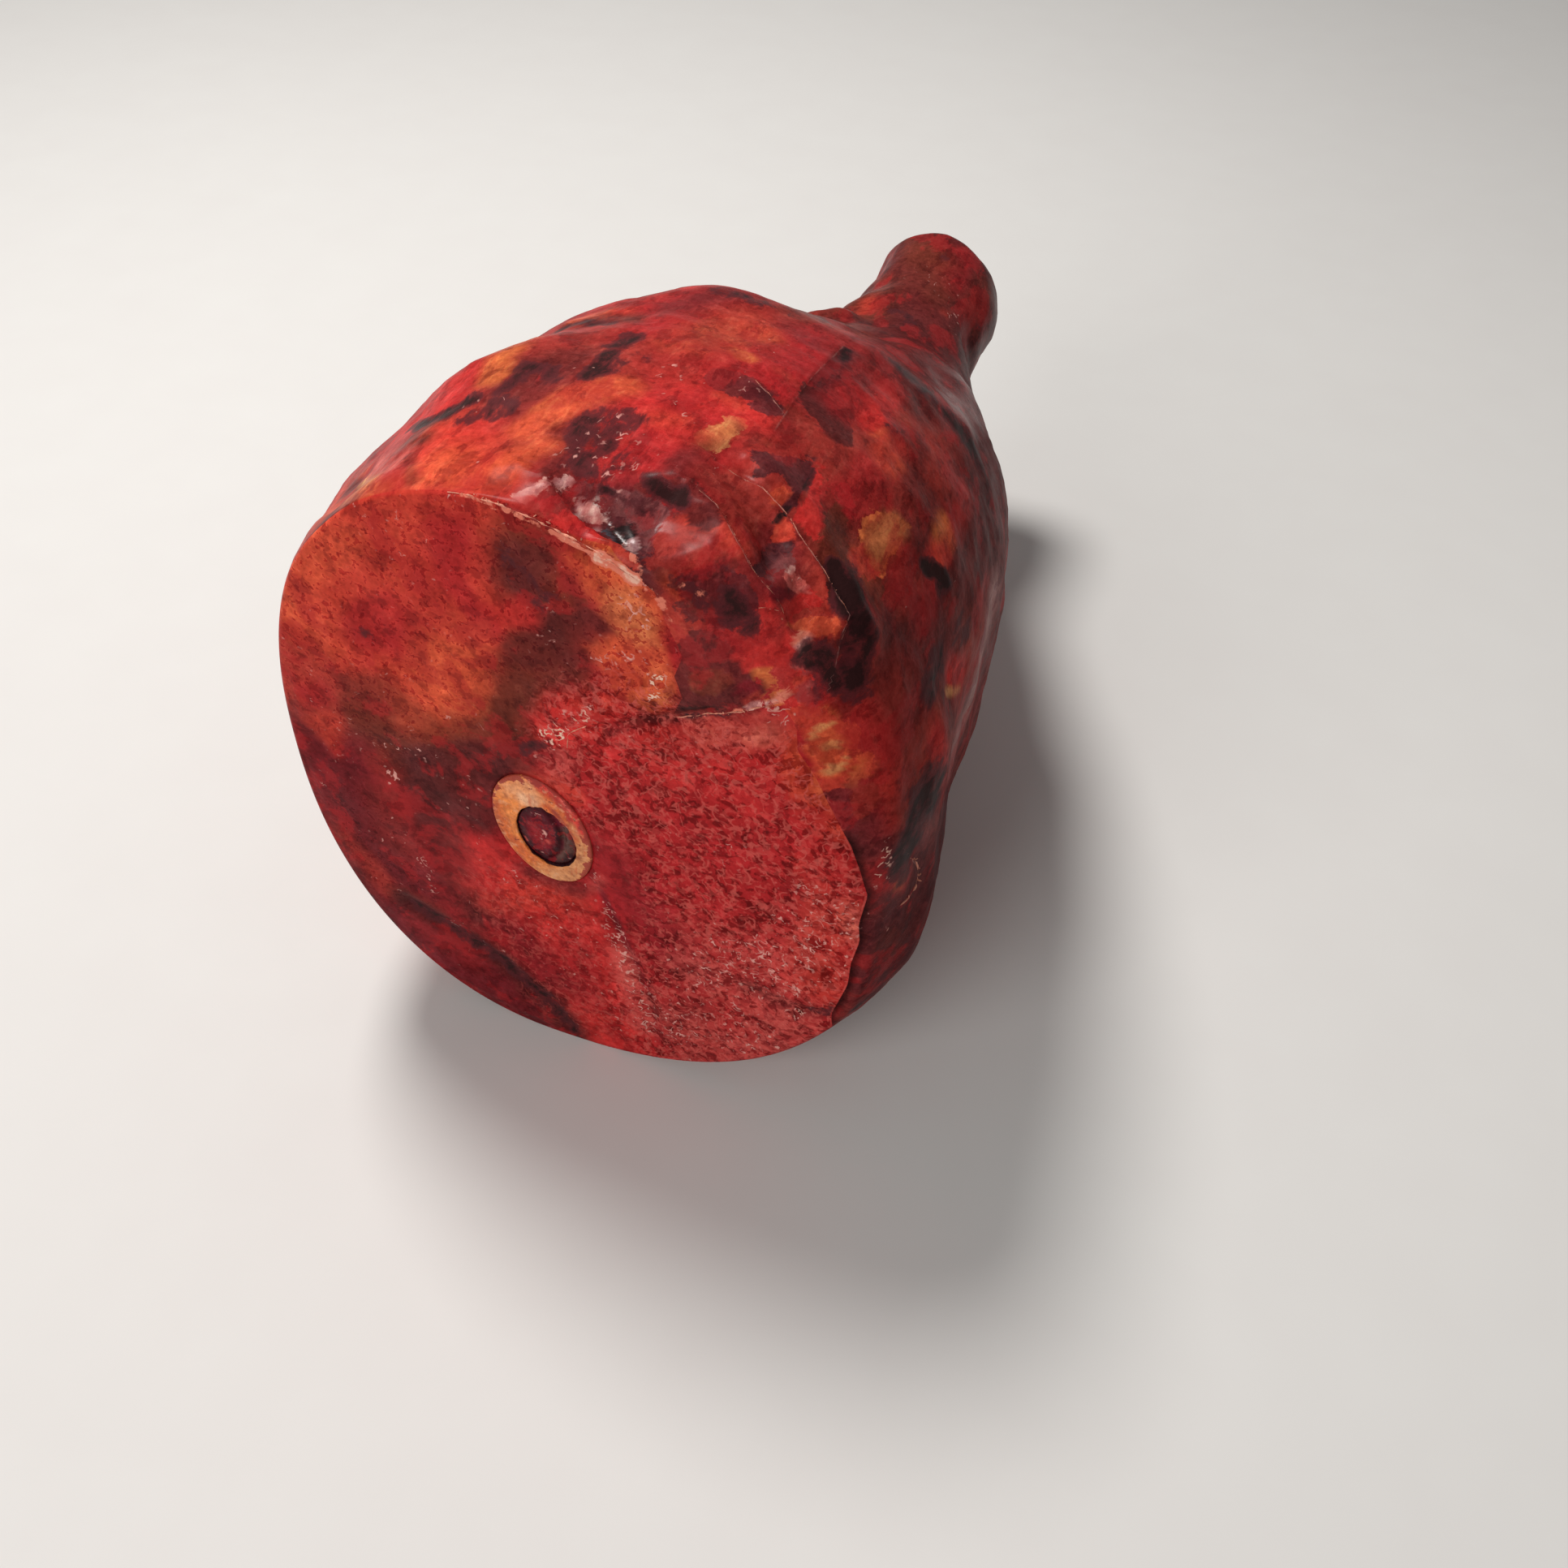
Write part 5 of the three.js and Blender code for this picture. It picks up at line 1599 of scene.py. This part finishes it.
def bone_material(settings, colours):
    """Sawn bone: streaks along the oval, pits, pale flecks, a stained rim and the painted shade of the
    hole.
    """
    material, tree, shader, where = new_material("sawn_bone")
    colour, height = mottled(tree, stored_colour(tree, "bone_print"), where, 240.0, 900.0, 1.0)
    lengthwise = stretched(tree, where, (1.0, 1.0, 0.35), (0, math.radians(-BONE_LEAN), 0))
    for ink, vector, look, low, high, share in (
        (settings.ring_edge, lengthwise, (420.0, 4, 0.6), 0.56, 0.68, 0.55),
        (settings.stain, where, (480.0, 3, 0.6), 0.66, 0.7, 0.9),
        (settings.ring_pale, where, (520.0, 3, 0.6), 0.55, 0.66, 0.35),
    ):
        colour = inked(tree, colour, ink, noise_mask(tree, vector, look, low, high), share)
    rag = noise_value(tree, where, 420.0, 4, 0.65)
    spread = times(tree, maths(tree, "SUBTRACT", rag, 0.5), 2.4)
    rim = maths(tree, "ADD", stored_value(tree, "bone_rim"), spread)
    colour = inked(tree, colour, colours.brick, ramp(tree, rim, 0.5, 0.62), 0.9)
    # painted shade of the marrow hole
    dark = maths(tree, "ADD", stored_value(tree, "hole_shade_share"), times(tree, spread, 0.7))
    set_inputs(tree, shader, {
        "Base Color": inked(tree, colour, settings.hole_shade, ramp(tree, dark, 0.4, 0.65)),
        "Roughness": ramp(tree, rag, 0.35, 0.7, 0.4, 0.55),
        "Normal": bumped(tree, 0.6, 0.0005, height),
        "Specular IOR Level": 0.2,
    })
    return material


def marrow_material(colours):
    """Marrow: smooth and wet, with crimson clots and pale glints."""
    material, tree, shader, where = new_material("marrow_glaze")
    colour, height = mottled(tree, stored_colour(tree, "marrow_print"), where, 240.0, 900.0, 1.1)
    clots = noise_mask(tree, where, (420.0, 3, 0.6, 0.6), 0.54, 0.62)
    colour = inked(tree, colour, colours.crimson, clots, 0.4)
    curls = pale_curls(tree, where, 420.0, 0.04, stored_value(tree, "glint"))
    set_inputs(tree, shader, {
        "Base Color": inked(tree, colour, colours.pink_and_highlight, curls, 0.7),
        "Roughness": noise_mask(tree, where, (200.0, 4, 0.6), 0.35, 0.7, 0.2, 0.36),
        "Normal": bumped(tree, 0.5, 0.0005, height),
        "Coat Weight": 0.07,
        "Coat Roughness": 0.1,
        "Specular IOR Level": 0.05,
    })
    return material


def spotted(points, base, marks, seed):
    """A base colour under marks of the cut face's own millimetres, each with an edge that strays."""
    paint = np.tile(np.array(base), (len(points), 1))
    strays = 0.5 * vector_noise(points, 4.0, seed) + 0.3 * vector_noise(points, 1.6, seed + 4)
    for ink, half_width, softness, strength, *spots in marks:
        moved = points + strays * half_width
        lay_ink(paint, ink, strength * mark_share(moved, on_face(spots), half_width, softness))
    return paint


def hole_radius(points):
    """Distance from the middle of the marrow hole, as a share of its half width."""
    local = points - np.array([BONE_AT[0] + MARROW_OFF[0], 0, BONE_AT[1] + MARROW_OFF[1]])
    lean = math.radians(BONE_LEAN)
    across = local[:, 0] * math.cos(lean) + local[:, 2] * math.sin(lean)
    up = -local[:, 0] * math.sin(lean) + local[:, 2] * math.cos(lean)
    return np.hypot(across / MARROW_HALF[0], up / MARROW_HALF[1])


def paint_bone(mesh, points, settings, colours):
    put_colour(mesh, "bone_print", spotted(points, settings.ring, [
        (settings.ring_pale, 3.0, 0.9, 0.45, (-14, 99), (-9, 101), (-6, 99)),
        (settings.ring_pale, 2.2, 0.6, 0.9, (-10.5, 97), (-8.5, 96)),
        (settings.ring_tan, 3.6, 0.8, 0.85, (3.4, 92), (5, 86), (3.8, 79), (-1, 71), (-6, 70)),
        (settings.ring_edge, 1.4, 0.9, 0.7, (-17.5, 92), (-17, 84), (-13, 75)),
        (settings.ring_edge, 1.5, 0.8, 0.7, (-14, 80), (-10, 75)),
        (settings.ring_edge, 1.9, 0.7, 0.95, (-4, 96), (0, 91), (1.6, 88)),
        (settings.ring_edge, 2.6, 0.7, 0.9, (-4, 102), (0, 99), (2, 95)),
        (colours.bright_red, 2.6, 0.5, 0.95, (-6, 105), (0, 102.6), (4, 97.6), (6, 92)),
        (colours.brick, 1.1, 0.9, 0.6, (-18.5, 92), (-19, 84), (-16, 76), (-10, 69.6), (-4, 67.4)),
        (colours.brick, 0.9, 0.7, 0.8, (-2.5, 95.5), (0.5, 91.5), (2, 88)),
        (colours.crimson, 0.9, 0.6, 0.8, (-1.5, 100), (1, 97), (1.8, 94)),
        (colours.rose, 0.6, 0.7, 0.8, (0.4, 100.4), (2.2, 97)),
        (settings.stain, 0.45, 0.6, 0.6, (-16.2, 91.6), (-15.2, 87)),
        (settings.stain, 0.4, 0.6, 0.6, (-15.2, 85), (-14.6, 82.4)),
        (settings.stain, 0.5, 0.6, 0.8, (-9.2, 100.8), (-8.6, 100.7)),
        (settings.stain, 0.6, 0.7, 0.6, (-6.6, 99), (-5.8, 98.8)),
        (settings.stain, 0.4, 0.6, 0.9, (-1.5, 72.3), (-1.1, 72.3)),
        (settings.stain, 0.7, 0.7, 0.9, (3.4, 81.6), (2.6, 80.6)),
        (settings.stain, 0.5, 0.7, 0.7, (3.6, 84)),
        (settings.stain, 0.5, 0.7, 0.6, (-15.6, 97), (-15, 95.6)),
        (settings.stain, 0.6, 0.7, 0.6, (-13, 77.6), (-12.6, 77)),
    ], 3.0))
    # painted shade: dark all through the marrow hole and just past its edge
    in_hole = 1 - smooth_step(hole_radius(points), 1.0, 1.09)
    put_value(mesh, "hole_shade_share", np.where(points[:, 1] > 0.0, 1.0, in_hole))
    across, up = points[:, 0] - BONE_AT[0], points[:, 2] - BONE_AT[1]
    outer = np.hypot(across, up * BONE_HALF[0] / BONE_HALF[1])
    red_side = smooth_step((across * 0.8 + up * 0.6) / outer, 0.1, 0.8)
    rim = smooth_step(outer, BONE_HALF[0] - 1.2 - 2.6 * red_side, BONE_HALF[0] + 0.9)
    put_value(mesh, "bone_rim", rim * (0.65 + 0.35 * red_side))


def make_marrow(settings):
    """The marrow as a rod with a low dome, which is grooved and lies deeper on its right."""
    angles = np.linspace(0, 2 * math.pi, MARROW_SPOKES, endpoint=False)
    sunk = settings.sunk / MM
    slope = 0.35 * np.cos(angles + math.radians(10))

    def ring(station, share=1.0):
        half = [size * share for size in wider(MARROW_HALF, FIT)]
        return bone_ring(station, half, angles, MARROW_OFF)

    rings = [ring(MARROW_LENGTH, 0.5)]
    rings += [ring(station) for station in (*MARROW_RING_STATIONS, sunk + 1.6)]
    for share in np.linspace(0.985, 0.04, MARROW_DOME_RINGS):
        dome = ring(sunk - 0.5 * math.sqrt(1 - share ** 2), share)
        dome[:, 1] += slope * share
        groove = nearest_on_path(dome, on_face([(-4.4, 94), (-1, 88), (-1.6, 80), (-4.4, 76.4)]))[0]
        dome[:, 1] += 0.9 * np.exp(-((groove / 0.9) ** 2))
        dome[:, 1] += 0.3 * layered_noise(dome, 3.0, 3.0) * (1 - share ** 8)
        rings.append(dome)
    return rings_to_mesh("ham_marrow", rings)


def paint_marrow(mesh, points, settings, colours):
    put_colour(mesh, "marrow_print", spotted(points, settings.marrow, [
        # painted shade: dark lines where the marrow meets the bone, in the groove on its right and at the
        # foot of the gap
        (settings.hole_shade, 1.5, 0.9, 0.9, (-13, 88), (-12, 82), (-8, 76.4), (-5, 75)),
        (settings.hole_shade, 1.6, 0.9, 0.9, (-13, 91), (-8, 94.6), (-4.6, 94)),
        # grey film in the gap beside the marrow, with a painted sheen
        (settings.gristle_and_sheen, 1.9, 0.4, 0.95, (-0.6, 88.5), (0.2, 84), (-0.6, 80), (-2.4, 77)),
        (settings.hole_shade, 1.4, 0.5, 0.95, (0.6, 79.4), (-1.4, 76), (-3, 75)),
        (colours.brown, 0.9, 0.6, 0.9, (-2, 93.4), (1.4, 90), (2.6, 84), (2.0, 80)),
        (settings.hole_shade, 0.9, 0.7, 0.9, (-4.4, 92.6), (-2.4, 88), (-2.8, 82), (-5, 77.4)),
        (colours.crimson, 2.0, 0.9, 0.6, (-8.6, 87), (-6.6, 82)),
        # painted highlights: pale and small red glints on the marrow
        (colours.pink_and_highlight, 0.4, 0.5, 0.9, (-6.1, 86.4), (-5.7, 85.4)),
        (colours.rose, 0.5, 0.7, 0.8, (-5.4, 83.2), (-5.0, 82.6)),
        (colours.rose, 0.35, 0.6, 0.8, (-11.6, 82), (-11.2, 81)),
    ], 2.0))
    glint = mark_share(points, on_face([(-1.8, 82.4), (-2.0, 79.6), (-4.4, 76.4)]), 0.7, 0.5)
    put_value(mesh, "glint", 0.25 + 1.2 * glint)


# ---------------- torn edges, by geometry nodes

FRAY_SPACING = 1.2  # between the points along a torn edge
LAID_ON = 0.00005  # how far the torn edges' middle line stands off the skin, in metres


def paper_material(settings):
    """The paper's white core: matt and uneven."""
    material, tree, shader, where = new_material("torn_paper")
    colour, height = mottled(tree, (*settings.colour, 1), where, 300.0, 1200.0, 1.0)
    set_inputs(tree, shader, {
        "Base Color": colour,
        "Roughness": noise_mask(tree, where, (400.0,), 0.3, 0.7, 0.6, 0.8),
        "Normal": bumped(tree, 0.6, 0.0002, height),
    })
    return material


def random_vector(tree, low, high, seed):
    return node_output(
        tree, "FunctionNodeRandomValue", {0: low, 1: high, "Seed": seed}, data_type="FLOAT_VECTOR")


def scaled(tree, vector, scale):
    return node_output(tree, "ShaderNodeVectorMath", {0: vector, "Scale": scale}, operation="SCALE")


def torn_edge_tree(material):
    """A ragged ridge along each path, with frayed flakes scattered beside it."""
    group, inlet, outlet = new_group(
        "torn_edge", "GeometryNodeTree",
        [("Geometry", "Geometry"), ("Width", "Float", 0.0008), ("Flake Spacing", "Float", 0.002),
         ("Seed", "Int", 4)],
        [("Geometry", "Geometry")])
    curve = node_output(group, "GeometryNodeMeshToCurve", {0: inlet["Geometry"]})
    fine = node_output(
        group, "GeometryNodeResampleCurve", {"Curve": curve, "Length": 0.0006}, mode="LENGTH")
    tear = node_output(group, "GeometryNodeInputNamedAttribute", {"Name": "tear"}, data_type="FLOAT")
    width = times(group, tear, inlet["Width"])
    spread = node_output(group, "ShaderNodeTexNoise", {"Scale": 380.0, "Detail": 3.0})
    radius = times(group, ramp(group, spread, 0.44, 0.62, 0.04, 1.0), width)
    shaped = node_output(group, "GeometryNodeSetCurveRadius", {"Curve": fine, "Radius": radius})
    profile = node_output(
        group, "GeometryNodeCurvePrimitiveCircle", {"Resolution": 6, "Radius": 0.5}, mode="RADIUS")
    ridge = node_output(
        group, "GeometryNodeCurveToMesh",
        {"Curve": shaped, "Profile Curve": profile, "Scale": radius, "Fill Caps": True})

    spots = add_node(
        group, "GeometryNodeCurveToPoints", {"Curve": fine, "Length": inlet["Flake Spacing"]},
        mode="LENGTH").outputs["Points"]
    jitter = random_vector(group, (-0.0007,) * 3, (0.0007,) * 3, inlet["Seed"])
    spots = node_output(
        group, "GeometryNodeSetPosition", {"Geometry": spots, "Offset": scaled(group, jitter, tear)})
    flakes = node_output(group, "GeometryNodeInstanceOnPoints", {
        "Points": spots,
        "Instance": node_output(group, "GeometryNodeMeshIcoSphere", {"Radius": 1.0, "Subdivisions": 1}),
        "Rotation": random_vector(group, (0.0,) * 3, (6.28,) * 3, inlet["Seed"]),
        "Scale": scaled(
            group, random_vector(group, (0.05, 0.1, 0.2), (0.25, 0.4, 1.0), inlet["Seed"]), width),
    })
    joined = group.nodes.new("GeometryNodeJoinGeometry")
    group.links.new(flakes, joined.inputs[0])
    group.links.new(ridge, joined.inputs[0])
    real = node_output(group, "GeometryNodeRealizeInstances", {0: joined.outputs[0]})
    painted = node_output(group, "GeometryNodeSetMaterial", {"Geometry": real, "Material": material})
    group.links.new(painted, outlet["Geometry"])
    return group


def tear_paths():
    """The paths of the torn edges as edges of one mesh, with the paper's width at each point."""
    points, edges, widths = [], [], []
    for surface, spots, width in TEARS:
        path = surface(spots)
        length = np.concatenate([[0], np.cumsum(np.linalg.norm(np.diff(path, axis=0), axis=1))])
        along = np.linspace(0, length[-1], max(4, int(length[-1] / FRAY_SPACING)))
        pairs = np.array(spots, float)
        line = surface(np.stack([np.interp(along, length, pairs[:, i]) for i in (0, 1)], -1))
        line = line + vector_noise(line, 2.6, 5.0) * 0.5
        taper = np.sin(np.linspace(0.15, math.pi - 0.15, len(line))) ** 0.5
        base = len(points)
        points += list(line)
        widths += list(width * taper)
        edges += [(base + i, base + i + 1) for i in range(len(line) - 1)]
    return np.array(points), edges, np.array(widths)


def make_tears(settings, skin):
    """The torn edges, laid on the finished skin."""
    points, edges, widths = tear_paths()
    found = []
    for point in (points + LEG_SHIFT) * MM:
        hit, place, normal, _ = skin.closest_point_on_mesh(Vector(point))
        if not hit:
            raise RuntimeError("a torn edge has no skin under it")
        found.append(place + normal * LAID_ON)
    mesh = bpy.data.meshes.new("tear_paths")
    mesh.from_pydata([tuple(p) for p in found], edges, [])
    put_value(mesh, "tear", widths)
    paths = add_object("tear_paths", mesh)
    material = paper_material(settings)
    tree = torn_edge_tree(material)
    modifier = paths.modifiers.new("torn_edge", "NODES")
    modifier.node_group = tree
    values = {"Width": settings.width, "Flake Spacing": settings.flakes, "Seed": 4}
    for item in tree.interface.items_tree:
        if item.item_type == "SOCKET" and item.in_out == "INPUT" and item.name in values:
            modifier[item.identifier] = values[item.name]
    bpy.context.view_layer.update()
    evaluated = paths.evaluated_get(bpy.context.evaluated_depsgraph_get())
    made = bpy.data.meshes.new_from_object(evaluated)
    made.name = "ham_torn_edges"
    bpy.data.objects.remove(paths)
    if not made.polygons:
        raise RuntimeError("the torn edges came out empty")
    return made, material


# ---------------- floor, lights and camera

FLOOR_REACH = 6
LIT_SPOT = Vector((0, -0.05, 0.09))
CAMERA_LENS = 36.25
CAMERA_PLACE = (0.13672, -0.37032, 0.3752)
CAMERA_AXES = (  # to its right, up and back
    (0.93423, 0.35594, 0.02286),
    (-0.27160, 0.66839, 0.69245),
    (0.23119, -0.65312, 0.72110),
)


def make_floor(settings):
    reach = FLOOR_REACH
    mesh = bpy.data.meshes.new("floor")
    mesh.from_pydata(
        [(-reach, -reach, 0), (reach, -reach, 0), (reach, reach, 0), (-reach, reach, 0)], [],
        [(0, 1, 2, 3)])
    material, tree, shader, where = new_material("floor_paint")
    colour, _ = mottled(tree, (*settings.floor, 1), where, 3.0, 40.0, 0.03)
    set_inputs(tree, shader, {"Base Color": colour, "Roughness": 0.9})
    mesh.materials.append(material)
    floor = add_object("floor", mesh)


def area_light(name, place, size, power, colour):
    light = bpy.data.lights.new(name, "AREA")
    light.shape = "DISK"
    light.size = size
    light.energy = power
    light.color = colour
    lamp = add_object(name, light)
    lamp.location = place
    lamp.rotation_mode = "QUATERNION"
    lamp.rotation_quaternion = (LIT_SPOT - Vector(place)).to_track_quat("-Z", "Y")


def make_lights(settings):
    area_light("key_light", (-0.44, 0.2, 1.1), 0.35, settings.key, (1.0, 0.965, 0.93))
    area_light("fill_light", (-0.35, -1.3, 0.75), 0.9, settings.fill, (1.0, 0.975, 0.95))
    world = bpy.data.worlds.get("room") or bpy.data.worlds.new("room")
    world.use_nodes = True
    set_inputs(world.node_tree, world.node_tree.nodes["Background"], {
        "Color": (1.0, 0.985, 0.97, 1), "Strength": settings.room})
    bpy.context.scene.world = world
    bpy.context.scene.view_settings.view_transform = "Standard"


def make_camera():
    camera = bpy.data.cameras.new("camera")
    camera.sensor_width = 36
    camera.lens = CAMERA_LENS
    camera.clip_start = 0.01
    rig = add_object("camera", camera)
    rig.matrix_world = Matrix.Translation(CAMERA_PLACE) @ Matrix(CAMERA_AXES).transposed().to_4x4()
    bpy.context.scene.camera = rig


# ---------------- operators

def clear(*names):
    """Takes away what an earlier run of the same operator made."""
    for name in names:
        old = bpy.data.objects.get(name)
        if old:
            bpy.data.objects.remove(old)


class HAM_OT_skin(bpy.types.Operator):
    """Make the printed skin: the leg's sides, its cut face and the bore for the bone"""
    bl_idname = "ham.skin"
    bl_label = "Skin"

    def execute(self, context):
        clear("ham_skin")
        mesh = make_skin(context.scene.ham_skin, context.scene.ham_colours)
        material = skin_material(context.scene.ham_colours)
        finish_piece("ham_skin", mesh, material, "ham")
        return {"FINISHED"}


class HAM_OT_bone(bpy.types.Operator):
    """Make the sawn bone and the marrow in its hole"""
    bl_idname = "ham.bone"
    bl_label = "Bone and marrow"

    def execute(self, context):
        clear("ham_bone", "ham_marrow")
        sizes, colours = context.scene.ham_bone, context.scene.ham_colours
        mesh, points = make_bone(sizes)
        paint_bone(mesh, points, sizes, colours)
        finish_piece("ham_bone", mesh, bone_material(sizes, colours), "bone")
        mesh, points = make_marrow(sizes)
        paint_marrow(mesh, points, sizes, colours)
        finish_piece("ham_marrow", mesh, marrow_material(colours), "marrow")
        return {"FINISHED"}


class HAM_OT_tears(bpy.types.Operator):
    """Make the torn edges of the printed paper, laid on the skin"""
    bl_idname = "ham.tears"
    bl_label = "Torn edges"

    def execute(self, context):
        clear("ham_torn_edges")
        skin = bpy.data.objects.get("ham_skin")
        if skin is None:
            raise RuntimeError("make the skin before its torn edges")
        mesh, material = make_tears(context.scene.ham_tears, skin)
        finish_piece("ham_torn_edges", mesh, material)
        return {"FINISHED"}


class HAM_OT_stage(bpy.types.Operator):
    """Make the pale floor, the soft lights and the camera"""
    bl_idname = "ham.stage"
    bl_label = "Stage"

    def execute(self, context):
        clear("floor", "key_light", "fill_light", "camera")
        make_floor(context.scene.ham_stage)
        make_lights(context.scene.ham_stage)
        make_camera()
        return {"FINISHED"}


class HAM_PT_panel(bpy.types.Panel):
    """The ham's operators, with their sizes and colours"""
    bl_label = "Glazed ham"
    bl_idname = "HAM_PT_panel"
    bl_space_type = "VIEW_3D"
    bl_region_type = "UI"
    bl_category = "Ham"

    def draw(self, context):
        for operator, group in (
            ("ham.skin", "ham_skin"), ("ham.skin", "ham_colours"), ("ham.bone", "ham_bone"),
            ("ham.tears", "ham_tears"), ("ham.stage", "ham_stage"),
        ):
            box = self.layout.box()
            settings = getattr(context.scene, group)
            for name in settings.__annotations__:
                box.prop(settings, name)
            box.operator(operator)


PROPERTY_GROUPS = {
    "ham_colours": HamPrintColours,
    "ham_skin": HamSkinSizes,
    "ham_bone": HamBoneSizes,
    "ham_tears": HamTearSizes,
    "ham_stage": HamStageSettings,
}
OPERATORS = (HAM_OT_stage, HAM_OT_skin, HAM_OT_bone, HAM_OT_tears)


def register():
    for name, group in PROPERTY_GROUPS.items():
        bpy.utils.register_class(group)
        setattr(bpy.types.Scene, name, bpy.props.PointerProperty(type=group))
    for cls in (*OPERATORS, HAM_PT_panel):
        bpy.utils.register_class(cls)


def unregister():
    for cls in (HAM_PT_panel, *reversed(OPERATORS)):
        bpy.utils.unregister_class(cls)
    for name, group in PROPERTY_GROUPS.items():
        delattr(bpy.types.Scene, name)
        bpy.utils.unregister_class(group)


def main():
    register()
    bpy.ops.ham.stage()
    bpy.ops.ham.skin()
    bpy.ops.ham.bone()
    bpy.ops.ham.tears()
    bpy.context.view_layer.update()


if __name__ == "__main__":
    main()
